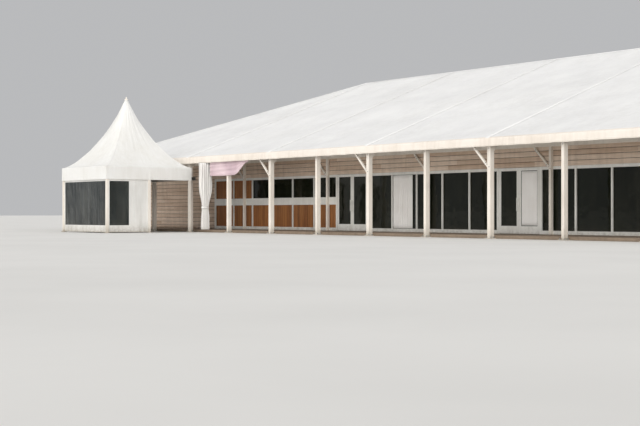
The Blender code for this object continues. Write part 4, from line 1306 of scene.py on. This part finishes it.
# The backing's dark colour is painted shade, which shows in the gaps as shadow lines.
shade_board(backing, 0.6)
keep(backing, backing_shade_timber)
for piece in (cladding, backing):
    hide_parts("front_wall_boarding", "front_wall_low_boarding")
print("backing faces:", len(backing.data.polygons))

# %% [markdown]
# The first glazed stretch has upright boards below its white rail, and nearest to the
# porch the boards fill the openings above the rail too. One board is made for each height
# and copied across the openings, and each copy gets a shade of its own.

# %% Boards in the left wall
OPENINGS = 6
INFILLED = (0, 1)
STAVES = 10
MULLION = 0.06
RAIL_LOW, RAIL_HIGH = 1.15, 1.45
FIRST_EDGE, LAST_EDGE = -11.4397, -2.54
opening_pitch = (LAST_EDGE - FIRST_EDGE + MULLION) / OPENINGS
opening_width = opening_pitch - MULLION
stave_width = opening_width / STAVES


def add_staves(name, bottom, top, openings):
    """Upright boards that fill some openings between two heights."""
    stave = add_block(
        "stave", (0.002, -WALL_FACE + 0.042, bottom + 0.002),
        (stave_width - 0.003, -WALL_FACE + 0.0595, top - 0.002),
    )
    soften(stave, 0.003)
    smooth(stave, 40)
    staves = []
    for opening in openings:
        for n in range(STAVES):
            place = shift(FIRST_EDGE + opening * opening_pitch + n * stave_width)
            staves.append(shade_board(copy_to(stave, "stave", place), chance(opening, n, bottom)))
    delete(stave)
    keep(join(staves, name), dado_timber)


add_staves("dado_boards", LIGHT_SILL, RAIL_LOW, range(OPENINGS))
add_staves("infill_boards", RAIL_HIGH, LIGHT_HEAD, INFILLED)
print("staves an opening:", STAVES, "each", round(stave_width, 3), "m wide")

# %% [markdown]
# Each door leaf gets its own dark pane, a rubber seal round it and a kick plate, which all
# turn with the leaf. They are made for one leaf and copied to the others.

# %% Door panes, seals and kick plates
LEAVES = {
    "door_a_left": 6.562, "door_a_right": 7.503, "door_b_left": -2.438, "door_b_right": -1.497,
}
LEAF_WIDTH = 0.935
PANE_EDGE, PANE_FOOT, PANE_HEAD = 0.101, 0.369, 2.241
SEAL_LAP = 0.0025

pane = add_block(
    "pane", (PANE_EDGE, -6.979, PANE_FOOT), (LEAF_WIDTH - PANE_EDGE, -6.961, PANE_HEAD)
)
soften(pane, 0.002)
seal = add_block(
    "seal", (PANE_EDGE - SEAL_LAP, -6.985, PANE_FOOT - SEAL_LAP),
    (LEAF_WIDTH - PANE_EDGE + SEAL_LAP, -6.955, PANE_HEAD + SEAL_LAP),
)
make_frame(seal, 0.014)
soften(seal, 0.003)
smooth(seal, 35)
plate = add_block("kick", (0.03, -6.9955, 0.125), (LEAF_WIDTH - 0.03, -6.9925, 0.325))
soften(plate, 0.001)
rivet = add_rod("rivet", (0.0, 0.0, 0.0), 0.006, 0.003, 10)
rivet.data.transform(turned(90, "X"))
rivets = [
    copy_to(rivet, "rivet", shift(x, -6.9965, z))
    for x in (0.05, 0.33, 0.61, 0.885) for z in (0.145, 0.305)
]
kick = join([plate, *rivets], "kick")
for body, edge in LEAVES.items():
    keep(copy_to(pane, f"{body}_pane", shift(edge)), dark_glass, body)
    keep(copy_to(seal, f"{body}_seal", shift(edge)), seal_rubber, body)
    keep(copy_to(kick, f"{body}_kick_plate", shift(edge)), door_paint, body)
for piece in (rivet, pane, seal, kick):
    delete(piece)
print("dressed", len(LEAVES), "door leaves")

# %% [markdown]
# Two of the dark lights look pale, with upright folds: a curtain is drawn across one fixed
# light, and a pleated blind fills one leaf of the right-hand door. Both are grids
# whose columns are pushed in and out. Their flat widths aren't known, so each is read from
# its own mesh, laid out along its folds. The blind turns with its leaf.

# %% Curtain and blind
def add_pleats(name, low, high, pleats, deep, body):
    """A pleated white sheet between two corners, and the flat size that its mesh has."""
    sheet = add_grid(name, pleats * 8, 14)
    width, height = high[0] - low[0], high[2] - low[2]
    places = []
    for vertex in sheet.data.vertices:
        across, up = vertex.co.x, vertex.co.y
        wander = 0.5 * math.sin(9 * across + 2.1 * up) * (1.0 - up)
        fold = math.cos(2 * math.pi * pleats * across + wander)
        fold *= 0.8 + 0.2 * math.sin(23 * across)
        vertex.co = (low[0] + width * across, low[1] + deep * fold, low[2] + height * up)
        places.append((across * width * 1.4, up * height))
    set_uv(sheet, places)
    area = area_of(sheet)
    thicken(sheet, 0.001)
    smooth(sheet)
    keep(sheet, drape_cloth, body)
    return sheet, (round(area / height, 2), round(height, 2))


curtain, size = add_pleats(
    "window_curtain", (0.96, -6.978, 0.235), (2.06, -6.978, 2.235), 11, 0.015, MARQUEE
)
blind, size = add_pleats(
    "door_blind", (7.623, -6.9845, 0.388), (8.318, -6.9845, 2.222), 12, 0.0035, "door_a_right"
)
print("curtain and blind drawn")

# %% [markdown]
# The hall's back and ends are closed by cloth walls, one panel to a bay, each with a clear
# window in the middle. One helper makes a panel, its film and the white bars that are
# welded over the film. All three use the same folds, so they stay on each other. It is
# called for each bay and turned to face the back, the left or the right.

# %% Cloth wall: one bay
WALL_FOOT = 0.03
PANEL_HEIGHT = 2.995 - WALL_FOOT
WINDOW_WIDTH, WINDOW_HEIGHT, WINDOW_SILL = 1.70, 1.15, 1.05
FILM_LAP = 0.06
BAR = 0.04


def add_bar(x, z, width, height, cuts):
    bar = cut_upright("bar", width, height, cuts)
    bar.data.transform(shift(x, 0, z))
    return bar


def add_wall_panel(name, wall, width, matrix):
    """One bay of cloth wall, drawn facing -Y from its left foot."""
    x0, x1 = (width - WINDOW_WIDTH) / 2, (width + WINDOW_WIDTH) / 2
    z0 = WINDOW_SILL - WALL_FOOT
    hole = (x0, z0, x1, z0 + WINDOW_HEIGHT)
    film_size = (WINDOW_WIDTH + 2 * FILM_LAP, WINDOW_HEIGHT + 2 * FILM_LAP)
    panel = cut_upright(name, width, PANEL_HEIGHT, 31, hole)
    film = cut_upright(f"{name}_film", *film_size, 23)
    film.data.transform(shift(x0 - FILM_LAP, 0, z0 - FILM_LAP))
    third, half = WINDOW_WIDTH / 3, BAR / 2
    bars = [
        add_bar(x - half, z0 - half, BAR, WINDOW_HEIGHT + BAR, 7) for x in (x0 + third, x1 - third)
    ]
    bars.append(add_bar(x0 - half, z0 + WINDOW_HEIGHT / 2 - half, WINDOW_WIDTH + BAR, BAR, 23))
    bars = join(bars, f"{name}_bars")
    for sheet, thickness, lift, finish, slot in (
        (panel, 0.002, 0.0, wall_cloth, "wall_fabric"),
        (film, 0.0012, -0.0022, clear_film, "clear_film"),
        (bars, 0.0012, -0.0042, wall_cloth, "wall_fabric"),
    ):
        hang(sheet, 0.010, 0.62, PANEL_HEIGHT, hole)
        thicken(sheet, thickness)
        smooth(sheet, 60)
        sheet.data.transform(matrix @ shift(0, lift))
        keep(sheet, finish)
    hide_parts(wall)
    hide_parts(f"{wall}_windows")


print("a wall panel is", round(PANEL_HEIGHT, 3), "m high")

# %% [markdown]
# The back has twelve panels and each end has five. There are 4 mm between two panels,
# which the laced flaps of the next step cover.

# %% Cloth walls: hang them
BACK_HALF, BACK_Y, BACK_PANELS = 18.8297, 9.9353, 12
END_X, END_BACK, END_PANELS = 19.0053, 9.7597, 5
BACK_PITCH = 2 * BACK_HALF / BACK_PANELS
END_PITCH = (END_BACK + WALL_FACE) / END_PANELS
PANEL_GAP = 0.004
for n in range(BACK_PANELS):
    place = shift((n + 1) * BACK_PITCH - BACK_HALF - PANEL_GAP / 2, BACK_Y, WALL_FOOT)
    name = f"back_panel_{n + 1}"
    add_wall_panel(name, "back_wall", BACK_PITCH - PANEL_GAP, place @ turned(180))
for n in range(END_PANELS):
    near = -WALL_FACE + n * END_PITCH + PANEL_GAP / 2
    width = END_PITCH - PANEL_GAP
    place = shift(END_X, near, WALL_FOOT) @ turned(90)
    add_wall_panel(f"right_panel_{n + 1}", "right_wall", width, place)
    place = shift(-END_X, near + width, WALL_FOOT) @ turned(-90)
    add_wall_panel(f"left_panel_{n + 1}", "left_wall", width, place)
print("bay widths:", round(BACK_PITCH, 3), round(END_PITCH, 3))

# %% [markdown]
# Where two panels meet, a flap covers the join. It is laced through metal eyelets, so the
# flap gets a column of small rings on its face. The torus has few faces because there are
# over two hundred rings.

# %% Laced joins
deselect_all()
bpy.ops.mesh.primitive_torus_add(
    major_radius=0.012, minor_radius=0.0035, major_segments=10, minor_segments=5,
    rotation=(math.pi / 2, 0, 0),
)
ring = settle(bpy.context.object, "ring")
smooth(ring)
flap = cut_upright("flap", 0.08, PANEL_HEIGHT - 0.02, 11)
flap.data.transform(shift(-0.04))
thicken(flap, 0.003)
soften(flap, 0.001)
EYELETS = [0.15 + step * 0.265 for step in range(11)]


def lace_wall(name, joins):
    """Flaps and eyelets at each join of one wall; each matrix places a join's foot."""
    flaps = repeat(flap, f"{name}_flaps", [foot @ shift(0, -0.010, 0.01) for foot in joins])
    keep(flaps, wall_cloth)
    spots = [foot @ shift(0.018, -0.0125, z) for foot in joins for z in EYELETS]
    keep(repeat(ring, f"{name}_eyelets", spots), galvanised)
    return len(spots)


eyelets = lace_wall("back_wall", [
    shift(-BACK_HALF + n * BACK_PITCH, BACK_Y, WALL_FOOT) @ turned(180)
    for n in range(1, BACK_PANELS)
])
for side, x, degrees in (("right", END_X, 90), ("left", -END_X, -90)):
    eyelets += lace_wall(f"{side}_wall", [
        shift(x, -WALL_FACE + n * END_PITCH, WALL_FOOT) @ turned(degrees)
        for n in range(1, END_PANELS)
    ])
delete(flap)
delete(ring)
print("eyelets:", eyelets)

# %% [markdown]
# The white drape beside the porch is a flat curtain that is gathered into pleats and tied
# in above its foot. A grid with many columns is laid out in waves between the front and
# the back of its outline, and the outline is narrow at the tie. The cloth's flat width
# isn't known. It is worked back from the mesh's own area, with an assumed share, because
# the folds at the tie hold less cloth than those at the head.

# %% Gathered drape
DRAPE_X, DRAPE_Y = -7.45, -10.0875
DRAPE_TOP, DRAPE_HEM, TIE = 2.889, 0.125, 1.04
DRAPE_HEIGHT = DRAPE_TOP - DRAPE_HEM
HEAD_HALF, TIE_HALF, SKIRT_HALF = 0.325, 0.165, 0.205
PLEATS = 6
ASSUMED_SHARE = 0.85


def drape_half_width(z):
    """Half of the drape's width at a height: wide above, tied in, and a skirt below."""
    if z > TIE:
        return TIE_HALF + (HEAD_HALF - TIE_HALF) * ease((z - TIE) / 0.85)
    return TIE_HALF + (SKIRT_HALF - TIE_HALF) * ease((TIE - z) / 0.45)


drape = add_grid("entrance_drape_cloth", PLEATS * 20, 60)
places = []
for vertex in drape.data.vertices:
    across, up = vertex.co.x, vertex.co.y
    z = DRAPE_HEM + DRAPE_HEIGHT * up
    half = drape_half_width(z)
    wander = 0.35 * math.sin(3.1 * z + 9 * across) + 0.25 * math.sin(7.3 * z)
    fold = math.cos(2 * math.pi * PLEATS * across + wander * (1 - up) * 1.6)
    round_edge = math.sqrt(max(0.0, 1.0 - (2 * across - 1) ** 2 * 0.8))
    deep = 0.32 * half * round_edge * (0.80 + 0.18 * math.sin(11 * across + 2 * z))
    vertex.co = (DRAPE_X + deep * fold, DRAPE_Y + half * (2 * across - 1) * 0.985, z)
    places.append((across * 2.6, z))
set_uv(drape, places)
drape_area = area_of(drape)
thicken(drape, 0.0015)
smooth(drape)
keep(drape, drape_cloth)
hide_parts("entrance_drape")
size = (round(drape_area / DRAPE_HEIGHT / ASSUMED_SHARE, 2), round(DRAPE_HEIGHT, 2))
print("drape cloth, square metres:", round(drape_area, 2))

# %% [markdown]
# A thin band of the same cloth ties the drape in. It starts as the side of a cylinder,
# which is squeezed to the outline of the gathered folds and creased a little.

# %% Tie band of the drape
TIE_DEEP, TIE_WIDE = 0.078, 0.172
tie_band = add_rod("drape_tie", (DRAPE_X, DRAPE_Y, TIE), 1.0, 0.07, 40)
edit(tie_band)
pick_faces(tie_band, lambda c, n: abs(n.z) > 0.9)
bpy.ops.mesh.delete(type="FACE")
bpy.ops.mesh.select_all(action="SELECT")
bpy.ops.mesh.subdivide(number_cuts=3)
close_edit()
for vertex in tie_band.data.vertices:
    angle = math.atan2(vertex.co.y - DRAPE_Y, vertex.co.x - DRAPE_X)
    crease = 1.0 + 0.03 * math.sin(9 * angle + 40 * (vertex.co.z - TIE))
    pinch = 1.0 - 18.0 * (vertex.co.z - TIE) ** 2
    vertex.co.x = DRAPE_X + TIE_DEEP * math.cos(angle) * crease / pinch
    vertex.co.y = DRAPE_Y + TIE_WIDE * math.sin(angle) * crease / pinch
thicken(tie_band, 0.004)
smooth(tie_band, 50)
keep(tie_band, drape_cloth)
print("tie band at", TIE)

# %% [markdown]
# The drape's heading hangs from a short rail, just under the stitched band of the roof. Two
# flat straps hold the rail to the underside of the eave beam.

# %% Rail of the drape
RAIL_Z = DRAPE_TOP + 0.010
STRAP_TOP = 2.9998
rail = add_rod("drape_rail", (0.0, 0.0, 0.0), 0.009, 0.66, 14)
rail.data.transform(shift(DRAPE_X, DRAPE_Y, RAIL_Z) @ turned(90, "X"))
soften(rail, 0.003)
straps = [
    add_block(
        "strap", (DRAPE_X - 0.002, y - 0.012, DRAPE_TOP + 0.001),
        (DRAPE_X + 0.002, y + 0.012, STRAP_TOP),
    )
    for y in (-9.965, -9.87)
]
hanger = join([rail, *straps], "drape_rail")
smooth(hanger, 40)
keep(hanger, mill_aluminium)
print("rail at", round(RAIL_Z, 3))

# %% [markdown]
# The mauve swag hangs under the eave from the drape towards the next bay. Cloth
# that is held at its ends falls in shallow arcs. So the sheet's lower edge is full over
# most of the length, and it is drawn up at the right in folds that fan out from
# that corner. The sheet is a grid again, because only its points are moved. Its flat width
# and length are an estimate.

# %% Swag
SWAG_LEFT, SWAG_RIGHT, SWAG_TOP, SWAG_Y = -7.255, -4.405, 2.985, -9.966
swag = add_grid("entrance_swag_cloth", 110, 44)
places = []
for vertex in swag.data.vertices:
    across, down = vertex.co.x, 1.0 - vertex.co.y
    x = SWAG_LEFT + (SWAG_RIGHT - SWAG_LEFT) * across
    drop = 0.63 - 0.50 * ease((across - 0.62) / 0.38) + 0.015 * math.sin(5 * across)
    belly = math.sin(math.pi * min(1.0, down * 1.15))
    corner = math.hypot((1.0 - across) * 2.4, down * drop + 0.10)
    fold = math.sin(2 * math.pi * (down * 3.4 + 0.35 * math.sin(2.2 * across)))
    fan = math.sin(17.0 * math.atan2(down * drop + 0.05, (1.05 - across) * 2.9)) / (1.0 + corner)
    push = 0.006 * belly + 0.010 * fold * ease(down * 3) + 0.010 * fan * down
    vertex.co = (x, SWAG_Y - push, SWAG_TOP - drop * down)
    places.append((across * 3.1, down * 0.66))
set_uv(swag, places)
thicken(swag, 0.0015)
smooth(swag)
keep(swag, swag_cloth)
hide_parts("entrance_swag")

# %% [markdown]
# Small fittings show the scale of a tent. Each post stands on a plate that is pinned to the
# ground. A steel pin is a shank, a washer and a head with softened edges. It is made once
# and copied to the corners of all the plates.

# %% Ground pins
shank = add_rod("pin", (0, 0, 0.035), 0.011, 0.03)
head = add_rod("head", (0, 0, 0.056), 0.021, 0.014)
washer = add_rod("washer", (0, 0, 0.0225), 0.027, 0.004)
soften(head, 0.004, 1)
pin = join([shank, head, washer], "pin")
smooth(pin, 40)

PLATE_Y = 9.87
END_PIN_LINES = (18.87, 19.01)
plates = [(x, side * PLATE_Y) for side in (-1, 1) for x in sorted(PORTALS + HIP_POSTS)]
plates += [(x, -PLATE_Y) for x in HALF_BAY_POSTS]
spots = [shift(x + dx, y + dy) for x, y in plates for dx in (-0.10, 0.10) for dy in (-0.07, 0.07)]
spots += [
    shift(side * x, y + dy)
    for side in (-1, 1) for y in END_POSTS for x in END_PIN_LINES for dy in (-0.10, 0.10)
]
keep(repeat(pin, "ground_pins", spots), galvanised)
delete(pin)
print("ground pins:", len(spots))

# %% [markdown]
# Each brace is bolted at both ends, and each post is bolted to the eave beam. The head is
# a cylinder with six sides, softened, over a round washer. It is turned once to face -Y,
# and copied to every joint of the veranda.

# %% Bolts on the braces
BRACE_FOOT = 2.25
EAVE_POST_FACE, INNER_POST_FACE, EAVE_BEAM_FACE = -9.916, -7.0865, -9.926
bolt = add_rod("bolt", (0, 0, 0), 0.013, 0.010, 6)
soften(bolt, 0.002, 1)
bolt = join([bolt, add_rod("disc", (0, 0, -0.006), 0.019, 0.003)], "bolt")
bolt.data.transform(turned(90, "X"))
spots = []
for x in PORTALS:
    for y, behind in ((EAVE_POST_FACE, 0.01), (INNER_POST_FACE, 0.02)):
        spots += [shift(x - along, y, BRACE_FOOT + along) for along in (0.09, 0.16, 0.59, 0.66)]
        spots.append(shift(x, y - behind, BRACE_FOOT + 0.02))
beam_bolts = [(x, z) for x in HALF_BAY_POSTS + PORTALS + HIP_POSTS for z in (2.86, 2.93)]
spots += [shift(x, EAVE_BEAM_FACE, z) for x, z in beam_bolts]
keep(repeat(bolt, "frame_bolts", spots), galvanised)
delete(bolt)
print("bolts:", len(spots))

# %% [markdown]
# The posts are extruded profiles with a channel on each side of the face, in which wall
# cloths slide. From afar the channels read as two fine lines down the post. A lip
# is a slim block with its inner face drawn in, and it is copied to both edges of each post.

# %% Channel lips on the posts
PORTAL_LIP, POST_LIP, INNER_LIP = 0.061, 0.046, 0.041
LONG_FACE, END_FACE, INNER_FACE = 9.9203, 18.9903, 7.1006
lip = add_block("lip", (-0.008, -0.006, 0.03), (0.008, 0.0, 2.975))
edit(lip)
pick_faces(lip, lambda c, n: n.y < -0.9)
bpy.ops.mesh.inset(thickness=0.004)
bpy.ops.transform.translate(value=(0, 0.004, 0))
close_edit()
spots = []
for x in sorted(HALF_BAY_POSTS + PORTALS + HIP_POSTS):
    half = PORTAL_LIP if x in PORTALS else POST_LIP
    spots += [shift(x + dx, -LONG_FACE) for dx in (-half, half)]
    if x not in HALF_BAY_POSTS:
        spots += [shift(x + dx, LONG_FACE) @ turned(180) for dx in (-half, half)]
for side in (-1, 1):
    for y in END_POSTS:
        foot = shift(side * END_FACE, y) @ turned(90 * side)
        spots += [foot @ shift(dx) for dx in (-POST_LIP, POST_LIP)]
spots += [shift(x + dx, -INNER_FACE) for x in PORTALS for dx in (-INNER_LIP, INNER_LIP)]
keep(repeat(lip, "post_lips", spots), frame_paint)
delete(lip)
print("lips:", len(spots))

# %% [markdown]
# The floor's front edge has a thin wooden skirting in lengths of about 3 m, with a lip
# over the boards. It is an L-section: a block is cut across near its top, and the face
# above the cut is extruded back over the floor. Small gaps let the lengths expand.

# %% Skirting on the floor's edge
NOSING_LENGTH, NOSINGS = 3.1375, 12
FLOOR_TOP = 0.1003
nosing = add_block("nosing", (0.003, -9.7595, 0.002), (NOSING_LENGTH - 0.003, -9.7555, 0.1035))
edit(nosing)
cut((0, 0, FLOOR_TOP), (0, 0, 1))
pick_faces(nosing, lambda c, n: n.y > 0.9 and c.z > FLOOR_TOP)
bpy.ops.mesh.extrude_region_move(TRANSFORM_OT_translate={"value": (0, 0.045, 0)})
close_edit()
face_outwards(nosing)
soften(nosing, 0.001, 1)
spots = [shift((n - NOSINGS / 2) * NOSING_LENGTH) for n in range(NOSINGS)]
keep(repeat(nosing, "deck_nosing", spots), edge_timber)
delete(nosing)
print("skirting lengths:", len(spots))

# %% [markdown]
# Every fixed pane sits in a black rubber gasket. It is a block as big as the opening,
# whose front and back faces are inset and then bridged, which leaves a thin frame. One is
# made for each stretch of the wall, because the openings differ in width.

# %% Gaskets of the fixed panes
MIDDLE_EDGE, MIDDLE_SPAN, MIDDLE_LIGHTS = -0.46, 6.92, 5
RIGHT_EDGE, RIGHT_SPAN, RIGHT_LIGHTS = 8.54, 10.3597, 7


def add_gaskets(name, start, width, numbers, bottom):
    """Frames for some of a stretch's lights, from a height up to the head."""
    gasket = add_block(
        "gasket", (0.001, -6.957, bottom + 0.001), (width - 0.001, -6.941, LIGHT_HEAD - 0.001)
    )
    make_frame(gasket, 0.016)
    soften(gasket, 0.003, 1)
    smooth(gasket, 35)
    spots = [shift(start + n * (width + MULLION)) for n in numbers]
    keep(repeat(gasket, name, spots), seal_rubber)
    delete(gasket)


middle_light = (MIDDLE_SPAN - (MIDDLE_LIGHTS - 1) * MULLION) / MIDDLE_LIGHTS
right_light = (RIGHT_SPAN - (RIGHT_LIGHTS - 1) * MULLION) / RIGHT_LIGHTS
glazed = [n for n in range(OPENINGS) if n not in INFILLED]
add_gaskets("gaskets_left", FIRST_EDGE, opening_width, glazed, RAIL_HIGH)
add_gaskets("gaskets_middle", MIDDLE_EDGE, middle_light, range(MIDDLE_LIGHTS), LIGHT_SILL)
add_gaskets("gaskets_right", RIGHT_EDGE, right_light, range(RIGHT_LIGHTS), LIGHT_SILL)
print("light widths:", round(opening_width, 4), round(middle_light, 4), round(right_light, 4))
